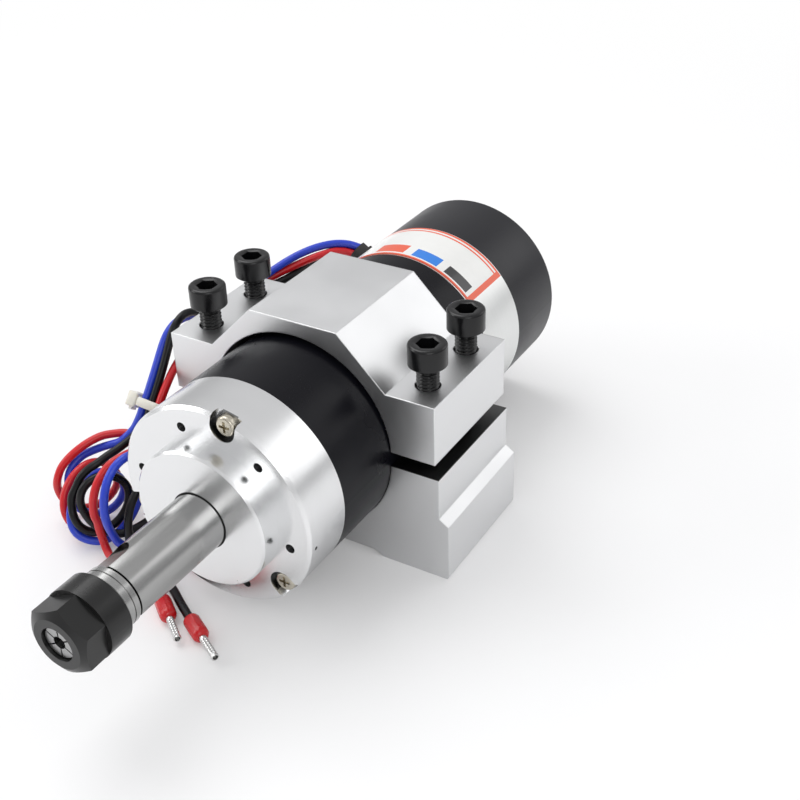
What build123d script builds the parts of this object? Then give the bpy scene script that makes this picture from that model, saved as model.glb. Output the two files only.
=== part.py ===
from build123d import *
import math
import os

# Motor spindle in its clamp. Millimetres, +Z up, base face at z = 0, the spindle nose points along -Y.
# The origin is the centre of the base's four mounting holes, straight below the spindle axis.

# Body and spindle axis
body_radius = 27.5
floor_under_bore = 4.75
axis_height = body_radius + floor_under_bore
body_wall = 5.0
seat_gap = 0.02
running_gap = 0.05
edge_break = 0.4

# Clamp: a foot that carries the motor and a cap that closes over it
clamp_length = 38.0
clamp_bore_gap = 0.1
cap_lift = 1.4
cap_side_wall = 12.7
cap_rise = 1.3
cap_shelf_drop = 9.55
cap_crown_wall = 4.05
cap_crown_inset = 14.4
cap_slope_inset = 1.0
base_drop = 1.55
base_side_wall = 13.7
foot_ledge = 2.7
step_top_height = 18.8
step_foot_height = 17.0
channel_inset = 3.4
channel_slope = 3.0
channel_depth = 1.5
foot_edge_round = 1.0
cap_half_width = body_radius + cap_side_wall
cap_underside = axis_height + cap_rise
cap_shelf_height = axis_height + body_radius - cap_shelf_drop
cap_top_height = axis_height + body_radius + cap_crown_wall
cap_top_half_width = body_radius - cap_crown_inset
cap_slope_foot = body_radius - cap_slope_inset
base_top_height = axis_height - base_drop
base_upper_half_width = body_radius + base_side_wall
foot_half_width = base_upper_half_width + foot_ledge
channel_half_width = body_radius - channel_inset

# Clamp screws, backed out in the stored pose, and the mounting holes under them
clamp_screw_wall = 6.0
clamp_screw_spacing_x = 2 * (body_radius + clamp_screw_wall)
clamp_screw_spacing_y = 20.0
clamp_screw_thread_radius = 3.0
clamp_screw_length = 40.0
clamp_screw_travel = 6.0
clamp_screw_head_radius = 5.0
clamp_screw_head_height = 6.0
clamp_screw_socket_width = 5.0
clamp_screw_socket_depth = 3.0
clamp_screw_head_round = 0.6
clamp_screw_clearance = 0.3
mounting_hole_radius = 3.4
mounting_hole_depth = 10.0

# Motor body, front to rear
tube_front_overhang = 21.5
tube_rear_overhang = 16.0
lead_ring_length = 20.2
rear_cover_length = 24.2
spigot_length = 4.0
spigot_wall = 2.0
register_length = 0.8
register_wall = 1.5
cover_rear_wall = 3.0
rear_bearing_setback = 5.3
rear_hub_step = 5.5
cover_edge_round = 1.0

# Front housing with its raised boss
housing_length = 14.8
housing_edge = 0.8
boss_shoulder = 8.8
boss_radius = body_radius - boss_shoulder
boss_height = 5.9
boss_edge = 0.5
boss_lip = 3.2
shaft_slot_gap = 0.35
nose_hole_radius = 1.25
nose_hole_edge = 5.5
nose_hole_pcd = 2 * (body_radius - nose_hole_edge)
nose_hole_depth = 8.0
nose_hole_count = 6
nose_hole_turn = -18.5
pin_hole_radius = 0.5
pin_hole_depth = 1.5
pin_hole_turn = 98.0
pin_hole_setback = 2.5

# Housing screws in open pockets
pocket_count = 3
pocket_turn = 12.4
pocket_radius = 3.5
pocket_edge = 2.9
pocket_pitch_radius = body_radius - pocket_edge
pocket_depth = 2.8
housing_screw_radius = 1.5
housing_screw_head_radius = 2.65
housing_screw_head_height = 2.0
housing_screw_length = 18.0
housing_screw_bite = 6.0
screw_hole_gap = 0.2
recess_length = 3.0
recess_width = 0.7
recess_depth = 0.9
head_round = 0.7

# Rear cover screws
rear_screw_radius = 1.25
rear_screw_edge = 3.3
rear_screw_pitch_radius = body_radius - rear_screw_edge
rear_screw_head_radius = 2.2
rear_screw_head_height = 1.6
rear_screw_bite = 6.0
thread_relief = 1.5

# Bearings
front_bearing_bore_radius = 6.0
front_bearing_outer_radius = 14.0
rear_bearing_bore_radius = 5.0
rear_bearing_outer_radius = 13.0
bearing_width = 8.0
ball_radius = 2.3
front_ball_count = 8
rear_ball_count = 7
race_gap = 0.06
race_shoulder = 1.3
cage_half_thickness = 0.5
bearing_gap = 0.1
retainer_length = 3.6
retainer_width = 2.4
locknut_length = 4.0
locknut_radius = 9.5
locknut_slot_depth = 1.2
locknut_slot_width = 3.0

# Rotor and stator
stack_length = 46.0
stack_rear_setback = 13.0
rotor_share = 8 / 15
magnet_thickness = 1.8
magnet_count = 4
magnet_arc = 78.0
air_gap = 0.5
tooth_count = 12
tooth_width = 3.2
shoe_thickness = 1.2
slot_opening = 1.8
yoke_thickness = 3.2
coil_thickness = 1.5
coil_gap = 0.15

# Spindle shaft, from the boss to the nut
shaft_radius = 7.5
shaft_nose_length = 29.2
groove_width = 0.5
groove_depth = 0.5
collar_length = 4.3
collar_line_setback = 1.9
collar_line_width = 0.3
flat_depth = 1.0
flat_length = 9.0
flat_turn = -34.0
shaft_thread_radius = 6.5
shaft_thread_length = 6.3
shaft_bore_radius = 3.3
shaft_bore_length = 39.0
rear_end_length = 10.0
ring_groove_radius = 4.6
retaining_ring_radius = 6.4
retaining_ring_thickness = 0.9
retaining_ring_opening = 3.0

# Collet and its nut
nut_radius = 9.0
nut_gap = 0.3
nut_length = 13.6
nut_face_radius = 6.4
nut_chamfer_angle = 30.0
nut_flat_width = 15.4
nut_flat_length = 6.8
nut_corner_turn = 5.3
nut_corner_count = 6
nut_hole_radius = 4.3
nut_hole_length = 1.2
nut_thread_length = 6.9
nut_rear_edge = 0.4
collet_recess = 0.8
collet_length = 18.0
collet_face_radius = 3.95
collet_nose_radius = 5.35
collet_rim_radius = 5.6
collet_groove_radius = 4.75
collet_groove_length = 1.8
collet_rim_length = 1.0
collet_taper = 8.0
collet_bore_radius = 1.6
collet_bore_length = 13.0
collet_slit_count = 6
collet_slit_width = 0.35
collet_slit_length = 14.0
tool_grip = 1.6
extractor_offset = 0.4
extractor_inner_radius = 5.3
extractor_outer_radius = 5.95

# Lead outlet, label and leads
gland_turn = -56.0
gland_setback = 16.0
gland_radius = 3.1
gland_collar_radius = 3.9
gland_collar_thickness = 0.8
gland_reach = 3.2
label_thickness = 0.2
label_margin = 0.5
label_gap = 0.01
label_start_turn = -46.5
label_end_turn = 50.5
lead_radius = 1.15

# Hank of spare lead, an upright oval bundle that stands on the surface
hank_centre = (-51.0, -46.5)
hank_half_height = 15.2
hank_half_width = 8.5
hank_length = 22.0
hank_turn = -27.0
tail_spacing = 2.6
tail_height = 1.5
tail_inset = 0.6

# Cable tie round the three leads, which lie side by side in it
tie_centre = (-44.2, -24.8, 33.55)
tie_axis = (-0.05, -0.59, -0.81)
tie_lead_spacing = 2.42
tie_gap = 0.15
tie_width = 2.5
tie_thickness = 1.0
tie_head_length = 4.2
tie_head_width = 3.8
tie_head_height = 3.2
tie_head_round = 0.5

# End sleeves
sleeve_radius = 2.0
sleeve_length = 8.0
pin_radius = 0.9
pin_length = 8.0

# Places worked out along the spindle axis
clamp_front = -clamp_length / 2
tube_front = clamp_front - tube_front_overhang
tube_rear = clamp_length / 2 + tube_rear_overhang
tube_inner_radius = body_radius - body_wall
rotor_radius = rotor_share * tube_inner_radius
lead_ring_rear = tube_rear + lead_ring_length
cover_rear = lead_ring_rear + rear_cover_length
face_front = tube_front - housing_length
boss_front = face_front - boss_height
bearing_shoulder = boss_front + boss_lip
housing_rear = tube_front + spigot_length
front_bearing_front = bearing_shoulder + bearing_gap
middle_bearing_front = front_bearing_front + bearing_width + bearing_gap
front_bearings_rear = middle_bearing_front + bearing_width
stack_rear = tube_rear - stack_rear_setback
stack_front = stack_rear - stack_length
shaft_nose_front = boss_front - shaft_nose_length
collar_rear = shaft_nose_front - groove_width
collar_front = shaft_nose_front - collar_length
shaft_tip = collar_front - shaft_thread_length
nut_rear = collar_front - nut_gap
nut_front = nut_rear - nut_length
collet_front = nut_front + collet_recess
collet_rear = collet_front + collet_length
rear_bearing_front = lead_ring_rear + rear_bearing_setback
rear_bearing_rear = rear_bearing_front + bearing_width
washer_thickness = 0.7
washer_width = 3.0
washer_gap = 0.06
hub_floor = rear_bearing_rear + bearing_gap + washer_thickness + bearing_gap
shaft_rear = rear_bearing_front + rear_end_length
tapped_hole_radius = clamp_screw_thread_radius + running_gap
clamp_bore_radius = body_radius + clamp_bore_gap
pocket_floor = face_front + pocket_depth
housing_screw_end = pocket_floor + housing_screw_length
rear_screw_end = tube_rear - rear_screw_bite


def spot(reach, turn):
    """The x and z of a point at a distance from the spindle axis, turned from straight up towards +X."""
    angle = math.radians(turn)
    return reach * math.sin(angle), axis_height + reach * math.cos(angle)


def turned(*outline):
    """A solid of revolution about the spindle axis from (y, radius) points."""
    points = [(radius, y) for y, radius in outline]
    return Pos(0, 0, axis_height) * revolve(make_face(Polyline(*points, close=True)), Axis.Y)


def ring(y_start, y_end, inner, outer):
    """A plain ring about the spindle axis."""
    return turned((y_start, inner), (y_start, outer), (y_end, outer), (y_end, inner))


def bar(y_start, y_end, radius, reach=0.0, turn=0.0):
    """A round bar parallel to the spindle axis."""
    x, z = spot(reach, turn)
    return Pos(x, (y_start + y_end) / 2, z) * Cylinder(radius, y_end - y_start, rotation=(90, 0, 0))


def around(count, first_turn=0.0):
    """Equal turns about the spindle axis."""
    return [first_turn + 360 * i / count for i in range(count)]


def block_at(turn, reach_from, reach_to, width, y_start, y_end):
    """A rectangular block that points away from the spindle axis."""
    middle = (reach_from + reach_to) / 2
    x, z = spot(middle, turn)
    size = (width, y_end - y_start, reach_to - reach_from)
    return Pos(x, (y_start + y_end) / 2, z) * Rot(0, turn, 0) * Box(*size)


def join(solids):
    """Separate solids kept side by side in one node."""
    return Compound(children=[solid for shape in solids for solid in shape.solids()])


def lengthwise(outline):
    """A block with an outline in x and z, as long as the clamp."""
    with_face = Plane.XZ * make_face(Polyline(*outline, close=True))
    return extrude(with_face, clamp_length / 2, both=True)


def clamp_screw_places():
    """Names and x, y of the four clamp screws."""
    half_x = clamp_screw_spacing_x / 2
    half_y = clamp_screw_spacing_y / 2
    return {
        "left_front": (-half_x, -half_y),
        "left_rear": (-half_x, half_y),
        "right_front": (half_x, -half_y),
        "right_rear": (half_x, half_y),
    }


def clamp_base():
    """Lower clamp block: stepped sides, a shallow channel between two feet and the lower half of the bore."""
    half = [
        (channel_half_width - channel_slope, channel_depth),
        (channel_half_width, 0),
        (foot_half_width, 0),
        (foot_half_width, step_foot_height),
        (base_upper_half_width, step_top_height),
        (base_upper_half_width, base_top_height),
    ]
    base = lengthwise(half + [(-x, z) for x, z in reversed(half)])
    foot_edges = base.edges().filter_by(Axis.Y).filter_by(lambda e: abs(e.center().X) > foot_half_width - 0.01)
    base = fillet(foot_edges.filter_by(lambda e: e.center().Z < 0.01), foot_edge_round)
    base -= bar(clamp_front - 1, -clamp_front + 1, clamp_bore_radius)
    for x, y in clamp_screw_places().values():
        tapped = base_top_height - mounting_hole_depth
        base -= Pos(x, y, mounting_hole_depth + tapped / 2) * Cylinder(tapped_hole_radius, tapped)
        base -= Pos(x, y, mounting_hole_depth / 2) * Cylinder(mounting_hole_radius, mounting_hole_depth)
    return base


def clamp_cap():
    """Upper clamp half with sloping shoulders, lifted off the motor by cap_lift."""
    half = [
        (cap_half_width, cap_underside),
        (cap_half_width, cap_shelf_height),
        (cap_slope_foot, cap_shelf_height),
        (cap_top_half_width, cap_top_height),
    ]
    cap = lengthwise(half + [(-x, z) for x, z in reversed(half)])
    cap -= bar(clamp_front - 1, -clamp_front + 1, clamp_bore_radius)
    for x, y in clamp_screw_places().values():
        hole = Cylinder(clamp_screw_thread_radius + clamp_screw_clearance, cap_top_height)
        cap -= Pos(x, y, cap_shelf_height - cap_top_height / 4) * hole
    return Pos(0, 0, cap_lift) * cap


def clamp_screw(x, y):
    """Cap screw with a hexagon socket, standing above the cap by its travel."""
    seat = cap_shelf_height + cap_lift + clamp_screw_travel
    head = Cylinder(clamp_screw_head_radius, clamp_screw_head_height, align=(Align.CENTER, Align.CENTER, Align.MIN))
    head = fillet(head.edges().filter_by(GeomType.CIRCLE).sort_by(Axis.Z)[-1], clamp_screw_head_round)
    socket = RegularPolygon(clamp_screw_socket_width / 2, 6, major_radius=False)
    floor = clamp_screw_head_height - clamp_screw_socket_depth
    head -= Pos(0, 0, floor) * extrude(socket, clamp_screw_socket_depth + 1)
    shank = Cylinder(
        clamp_screw_thread_radius, clamp_screw_length, align=(Align.CENTER, Align.CENTER, Align.MAX)
    )
    shank = chamfer(shank.edges().filter_by(GeomType.CIRCLE).sort_by(Axis.Z)[0], edge_break)
    return Pos(x, y, seat) * (head + shank)


def motor_tube():
    """Black body tube with tapped holes in both ends of its wall."""
    tube = ring(tube_front, tube_rear, tube_inner_radius, body_radius)
    front_depth = housing_screw_end + thread_relief
    for turn in around(pocket_count, pocket_turn):
        tube -= bar(tube_front - 1, front_depth, housing_screw_radius + running_gap, pocket_pitch_radius, turn)
    rear_depth = rear_screw_end - thread_relief
    for turn in around(pocket_count):
        tube -= bar(rear_depth, tube_rear + 1, rear_screw_radius + running_gap, rear_screw_pitch_radius, turn)
    return tube


def front_housing():
    """Silver nose housing: raised boss, bearing bore, six tapped holes and three open screw pockets."""
    spigot = tube_inner_radius - seat_gap
    body = turned(
        (boss_front, shaft_radius + shaft_slot_gap),
        (boss_front, boss_radius - boss_edge),
        (boss_front + boss_edge, boss_radius),
        (face_front, boss_radius),
        (face_front, body_radius - housing_edge),
        (face_front + housing_edge, body_radius),
        (tube_front, body_radius),
        (tube_front, spigot),
        (housing_rear, spigot),
        (housing_rear, front_bearing_outer_radius),
        (bearing_shoulder, front_bearing_outer_radius),
        (bearing_shoulder, shaft_radius + shaft_slot_gap),
    )
    for turn in around(nose_hole_count, nose_hole_turn):
        body -= bar(face_front - 1, face_front + nose_hole_depth, nose_hole_radius, nose_hole_pcd / 2, turn)
    for turn in around(pocket_count, pocket_turn):
        body -= bar(face_front - 1, pocket_floor, pocket_radius, pocket_pitch_radius, turn)
        outside = body_radius + 1
        body -= block_at(turn, pocket_pitch_radius, outside, 2 * pocket_radius, face_front - 1, pocket_floor)
        hole = housing_screw_radius + screw_hole_gap
        body -= bar(pocket_floor - 1, tube_front + 1, hole, pocket_pitch_radius, turn)
    x, z = spot(body_radius, pin_hole_turn)
    pin_hole = Rot(0, pin_hole_turn, 0) * Cylinder(pin_hole_radius, 2 * pin_hole_depth)
    body -= Pos(x, face_front + pin_hole_setback, z) * pin_hole
    return body


def pan_screw(radius, length, head_radius, head_height, reach, turn, seat, towards):
    """Cross-recess screw; seat is the y under its head and towards is +1 when it points along +Y."""
    head = Cylinder(head_radius, head_height, align=(Align.CENTER, Align.CENTER, Align.MIN))
    head = fillet(head.edges().filter_by(GeomType.CIRCLE).sort_by(Axis.Z)[-1], head_round)
    for quarter in (0, 90):
        slot = Box(recess_length, recess_width, 2 * recess_depth)
        head -= Pos(0, 0, head_height) * Rot(0, 0, quarter) * slot
    shank = Cylinder(radius, length, align=(Align.CENTER, Align.CENTER, Align.MAX))
    x, z = spot(reach, turn)
    return Pos(x, seat, z) * Rot(90 * towards, 0, 0) * (head + shank)


def housing_screws():
    """The three screws that hold the front housing to the body tube."""
    return join(
        pan_screw(
            housing_screw_radius, housing_screw_length, housing_screw_head_radius,
            housing_screw_head_height, pocket_pitch_radius, turn, pocket_floor, 1,
        )
        for turn in around(pocket_count, pocket_turn)
    )


def rear_screws():
    """The three long screws that hold the rear cover and lead ring to the body tube."""
    return join(
        pan_screw(
            rear_screw_radius, cover_rear - rear_screw_end, rear_screw_head_radius,
            rear_screw_head_height, rear_screw_pitch_radius, turn, cover_rear, -1,
        )
        for turn in around(pocket_count)
    )


def lead_ring():
    """Bare aluminium ring behind the tube, with the hole where the leads come out."""
    spigot = tube_inner_radius - seat_gap
    body = turned(
        (tube_rear - spigot_length, spigot - spigot_wall),
        (tube_rear - spigot_length, spigot),
        (tube_rear, spigot),
        (tube_rear, body_radius),
        (lead_ring_rear, body_radius),
        (lead_ring_rear, tube_inner_radius),
        (tube_rear, tube_inner_radius),
        (tube_rear, spigot - spigot_wall),
    )
    for turn in around(pocket_count):
        hole = rear_screw_radius + screw_hole_gap
        body -= bar(tube_rear - 1, lead_ring_rear + 1, hole, rear_screw_pitch_radius, turn)
    x, z = spot(body_radius, gland_turn)
    hole = Rot(0, gland_turn, 0) * Cylinder(gland_radius + seat_gap, 3 * body_wall)
    return body - Pos(x, tube_rear + gland_setback, z) * hole


def rear_cover():
    """Black end bell with a hub for the rear bearing and a plain closed back."""
    inner = tube_inner_radius - register_wall
    hub = rear_bearing_outer_radius + cover_rear_wall
    back = cover_rear - cover_rear_wall
    clear = rear_bearing_outer_radius - rear_hub_step
    body = turned(
        (lead_ring_rear - register_length, inner),
        (lead_ring_rear - register_length, tube_inner_radius - seat_gap),
        (lead_ring_rear, tube_inner_radius - seat_gap),
        (lead_ring_rear, body_radius),
        (cover_rear, body_radius),
        (cover_rear, 0),
        (back, 0),
        (back, clear),
        (hub_floor, clear),
        (hub_floor, rear_bearing_outer_radius),
        (rear_bearing_front - 1, rear_bearing_outer_radius),
        (rear_bearing_front - 1, hub),
        (back, hub),
        (back, inner),
    )
    rim = body.edges().filter_by(GeomType.CIRCLE).sort_by(Axis.Y)[-1]
    body = fillet(rim, cover_edge_round)
    for turn in around(pocket_count):
        hole = rear_screw_radius + screw_hole_gap
        body -= bar(lead_ring_rear - 1, cover_rear + 1, hole, rear_screw_pitch_radius, turn)
    return body


def bearing(y_front, bore, outside, count):
    """Deep-groove bearing: outer ring, inner ring, cage and balls."""
    pitch = (bore + outside) / 2
    middle = y_front + bearing_width / 2
    rear = y_front + bearing_width
    track = Pos(0, middle, axis_height) * Torus(pitch, ball_radius + race_gap, rotation=(90, 0, 0))
    outer = ring(y_front, rear, pitch + race_shoulder, outside - seat_gap) - track
    inner = ring(y_front, rear, bore + seat_gap, pitch - race_shoulder) - track
    half_cage = ball_radius + cage_half_thickness
    cage = ring(middle - half_cage, middle + half_cage, pitch - cage_half_thickness, pitch + cage_half_thickness)
    balls = []
    for turn in around(count):
        x, z = spot(pitch, turn)
        balls.append(Pos(x, middle, z) * Sphere(ball_radius))
        pocket = Cylinder(ball_radius + race_gap, 4 * cage_half_thickness)
        cage -= Pos(x, middle, z) * Rot(0, turn, 0) * pocket
    return {"outer_ring": outer, "inner_ring": inner, "cage": cage, "balls": join(balls)}


def bearing_retainer():
    """Threaded ring that holds the front bearings' outer rings in the housing."""
    start = front_bearings_rear + bearing_gap
    outer = front_bearing_outer_radius - seat_gap
    return ring(start, start + retainer_length, outer - retainer_width, outer)


def bearing_locknut():
    """Round nut on the shaft behind the front bearings, with four spanner slots."""
    start = front_bearings_rear + bearing_gap
    nut = ring(start, start + locknut_length, front_bearing_bore_radius + seat_gap, locknut_radius)
    for turn in around(4, 45):
        slot_floor = locknut_radius - locknut_slot_depth
        nut -= block_at(turn, slot_floor, locknut_radius + 1, locknut_slot_width, start - 1, start + locknut_length + 1)
    return nut


def spindle_shaft():
    """Spindle with a nose taper, thread, grooved collar, wrench flats and bearing seats."""
    mouth = collet_radius_at(shaft_tip) + running_gap
    taper_end = collet_rear + 1
    small = mouth - (taper_end - shaft_tip) * math.tan(math.radians(collet_taper))
    line = shaft_nose_front - collar_line_setback
    body = turned(
        (shaft_tip, mouth),
        (shaft_tip, shaft_thread_radius - edge_break),
        (shaft_tip + edge_break, shaft_thread_radius),
        (collar_front, shaft_thread_radius),
        (collar_front, shaft_radius - edge_break),
        (collar_front + edge_break, shaft_radius),
        (line - collar_line_width, shaft_radius),
        (line - collar_line_width, shaft_radius - collar_line_width),
        (line, shaft_radius - collar_line_width),
        (line, shaft_radius),
        (collar_rear, shaft_radius),
        (collar_rear, shaft_radius - groove_depth),
        (shaft_nose_front, shaft_radius - groove_depth),
        (shaft_nose_front, shaft_radius),
        (front_bearing_front, shaft_radius),
        (front_bearing_front, front_bearing_bore_radius),
        (rear_bearing_front, front_bearing_bore_radius),
        (rear_bearing_front, rear_bearing_bore_radius),
        (rear_bearing_rear + bearing_gap, rear_bearing_bore_radius),
        (rear_bearing_rear + bearing_gap, ring_groove_radius),
        (rear_bearing_rear + bearing_gap + retaining_ring_thickness, ring_groove_radius),
        (rear_bearing_rear + bearing_gap + retaining_ring_thickness, rear_bearing_bore_radius),
        (shaft_rear, rear_bearing_bore_radius),
        (shaft_rear, 0),
        (shaft_tip + shaft_bore_length, 0),
        (shaft_tip + shaft_bore_length, shaft_bore_radius),
        (taper_end, shaft_bore_radius),
        (taper_end, small),
    )
    half_width = math.sqrt(shaft_radius**2 - (shaft_radius - flat_depth) ** 2)
    for turn in around(2, flat_turn):
        low = shaft_radius - flat_depth
        flat_rear = shaft_nose_front + flat_length - half_width
        cut = block_at(turn, low, shaft_radius + 1, 2 * half_width, shaft_nose_front, flat_rear)
        x, z = spot(low + 1, turn)
        body -= cut
        body -= Pos(x, flat_rear, z) * Rot(0, turn, 0) * Cylinder(half_width, 2)
    return body


def retaining_ring():
    """Open ring in the groove at the rear end of the shaft."""
    start = rear_bearing_rear + bearing_gap + seat_gap
    end = start + retaining_ring_thickness - 2 * seat_gap
    body = ring(start, end, ring_groove_radius + seat_gap, retaining_ring_radius)
    return body - block_at(180, 0, retaining_ring_radius + 1, retaining_ring_opening, start - 1, end + 1)


def wave_washer():
    """Preload washer between the rear bearing and the hub floor."""
    start = rear_bearing_rear + bearing_gap
    outer = rear_bearing_outer_radius - washer_gap
    return ring(start, start + washer_thickness, outer - washer_width, outer)


def rotor_core():
    """Steel core of the rotor on the shaft."""
    return ring(stack_front, stack_rear, front_bearing_bore_radius + seat_gap, rotor_radius - magnet_thickness)


def rotor_magnets():
    """Curved magnets round the rotor core."""
    inner = rotor_radius - magnet_thickness + seat_gap
    magnets = []
    for turn in around(magnet_count):
        profile = Pos(inner + magnet_thickness / 2, 0) * Rectangle(magnet_thickness - seat_gap, stack_length)
        magnet = revolve(profile, Axis.Y, magnet_arc)
        middle = (stack_front + stack_rear) / 2
        magnets.append(Pos(0, middle, axis_height) * Rot(0, turn, 0) * magnet)
    return join(magnets)


def stator_core():
    """Laminated stator with teeth that point inwards and end in shoes."""
    outer = tube_inner_radius - seat_gap
    bore = rotor_radius + air_gap
    core = ring(stack_front, stack_rear, outer - yoke_thickness, outer)
    shoes = ring(stack_front, stack_rear, bore, bore + shoe_thickness)
    for turn in around(tooth_count, 180 / tooth_count):
        shoes -= block_at(turn, 0, bore + 2 * shoe_thickness, slot_opening, stack_front - 1, stack_rear + 1)
    core += shoes
    for turn in around(tooth_count):
        root = outer - yoke_thickness / 2
        core += block_at(turn, bore + shoe_thickness / 2, root, tooth_width, stack_front, stack_rear)
    return core


def stator_windings():
    """One rectangular coil round each stator tooth."""
    inner = rotor_radius + air_gap + shoe_thickness + 2 * coil_gap
    outer = tube_inner_radius - yoke_thickness - 3 * coil_gap
    hole_width = tooth_width + 2 * coil_gap
    hole_start = stack_front - coil_gap
    hole_end = stack_rear + coil_gap
    coils = []
    for turn in around(tooth_count):
        width = hole_width + 2 * coil_thickness
        start = hole_start - coil_thickness
        end = hole_end + coil_thickness
        coil = block_at(turn, inner, outer, width, start, end)
        coil -= block_at(turn, inner - 1, outer + 1, hole_width, hole_start, hole_end)
        coils.append(coil)
    return join(coils)


def collet_radius_at(y):
    """Radius of the collet's rear taper at a place along the spindle axis."""
    rim = collet_front + collet_nose_length() + collet_groove_length + collet_rim_length
    return collet_rim_radius - (y - rim) * math.tan(math.radians(collet_taper))


def collet_nose_length():
    """Length of the collet's thirty-degree nose."""
    return (collet_nose_radius - collet_face_radius) / math.tan(math.radians(30))


def collet():
    """Spring collet: tapered body, extraction groove and slits from the front."""
    nose = collet_front + collet_nose_length()
    groove = nose + collet_groove_length
    rim = groove + collet_rim_length
    body = turned(
        (collet_front, collet_bore_radius),
        (collet_front, collet_face_radius),
        (nose, collet_nose_radius),
        (nose, collet_groove_radius),
        (groove, collet_groove_radius),
        (groove, collet_rim_radius),
        (rim, collet_rim_radius),
        (collet_rear, collet_radius_at(collet_rear)),
        (collet_rear, collet_bore_radius + 1),
        (collet_front + collet_bore_length, collet_bore_radius + 1),
        (collet_front + collet_bore_length, collet_bore_radius),
    )
    slit_end = collet_front + collet_slit_length
    for turn in around(collet_slit_count):
        body -= block_at(turn, 0, collet_rim_radius + 1, collet_slit_width, collet_front - 1, slit_end)
    return body


def collet_nut():
    """Clamping nut: round skirt, six flats with a bevelled face and a thirty-degree seat inside."""
    slope = math.tan(math.radians(30))
    seat_end = nut_front + nut_hole_length + (extractor_outer_radius - nut_hole_radius) / slope
    seat_end = min(seat_end, collet_front + collet_nose_length() + seat_gap)
    seat_radius = nut_hole_radius + (seat_end - nut_front - nut_hole_length) * slope
    ring_end = collet_front + collet_nose_length() + collet_groove_length
    thread = shaft_thread_radius + running_gap
    thread_start = nut_rear - nut_thread_length
    bevel = (nut_radius - nut_face_radius) * math.tan(math.radians(nut_chamfer_angle))
    body = turned(
        (nut_front, nut_hole_radius),
        (nut_front, nut_face_radius),
        (nut_front + bevel, nut_radius),
        (nut_rear - nut_rear_edge, nut_radius),
        (nut_rear, nut_radius - nut_rear_edge),
        (nut_rear, thread),
        (thread_start, thread),
        (thread_start, collet_rim_radius + 0.15),
        (ring_end, collet_rim_radius + 0.15),
        (ring_end, extractor_outer_radius + seat_gap),
        (seat_end, extractor_outer_radius + seat_gap),
        (seat_end, seat_radius),
        (nut_front + nut_hole_length, nut_hole_radius),
    )
    flat_end = nut_front + nut_flat_length
    for turn in around(nut_corner_count, nut_corner_turn + 180 / nut_corner_count):
        body -= block_at(turn, nut_flat_width / 2, nut_radius + 2, 2 * nut_radius, nut_front - 1, flat_end)
    return body


def extractor_ring():
    """Eccentric ring in the nut that pulls the collet out of its taper."""
    start = collet_front + collet_nose_length() + 2 * running_gap
    end = start + collet_groove_length - 4 * running_gap
    outside = bar(start, end, extractor_outer_radius)
    return outside - Pos(extractor_offset, 0, 0) * bar(start - 1, end + 1, extractor_inner_radius)


def gland_frame():
    """Place and outward direction of the lead outlet on the lead ring."""
    x, z = spot(body_radius, gland_turn)
    angle = math.radians(gland_turn)
    return Vector(x, tube_rear + gland_setback, z), Vector(math.sin(angle), 0, math.cos(angle))


def lead_gland():
    """Black rubber grommet that the three leads come out of."""
    place, _ = gland_frame()
    stem = Cylinder(gland_radius, body_wall + gland_reach, align=(Align.CENTER, Align.CENTER, Align.MAX))
    collar = Cylinder(gland_collar_radius, gland_collar_thickness, align=(Align.CENTER, Align.CENTER, Align.MIN))
    body = Pos(0, 0, gland_reach) * stem + Pos(0, 0, collar_rise()) * collar
    return Pos(place) * Rot(0, gland_turn, 0) * body


def collar_rise():
    """How far the grommet's flat collar stands off the round ring, so that its sides clear the curve."""
    return label_thickness / 2


def label_plate():
    """Thin curved plate on the lead ring."""
    start = tube_rear + label_margin
    end = lead_ring_rear - label_margin
    height = end - start
    profile = Pos(body_radius + label_gap + label_thickness / 2, 0) * Rectangle(label_thickness, height)
    sweep = label_end_turn - label_start_turn
    plate = Rot(0, label_start_turn - 90, 0) * revolve(profile, Axis.Y, sweep)
    return Pos(0, (start + end) / 2, axis_height) * plate


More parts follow.
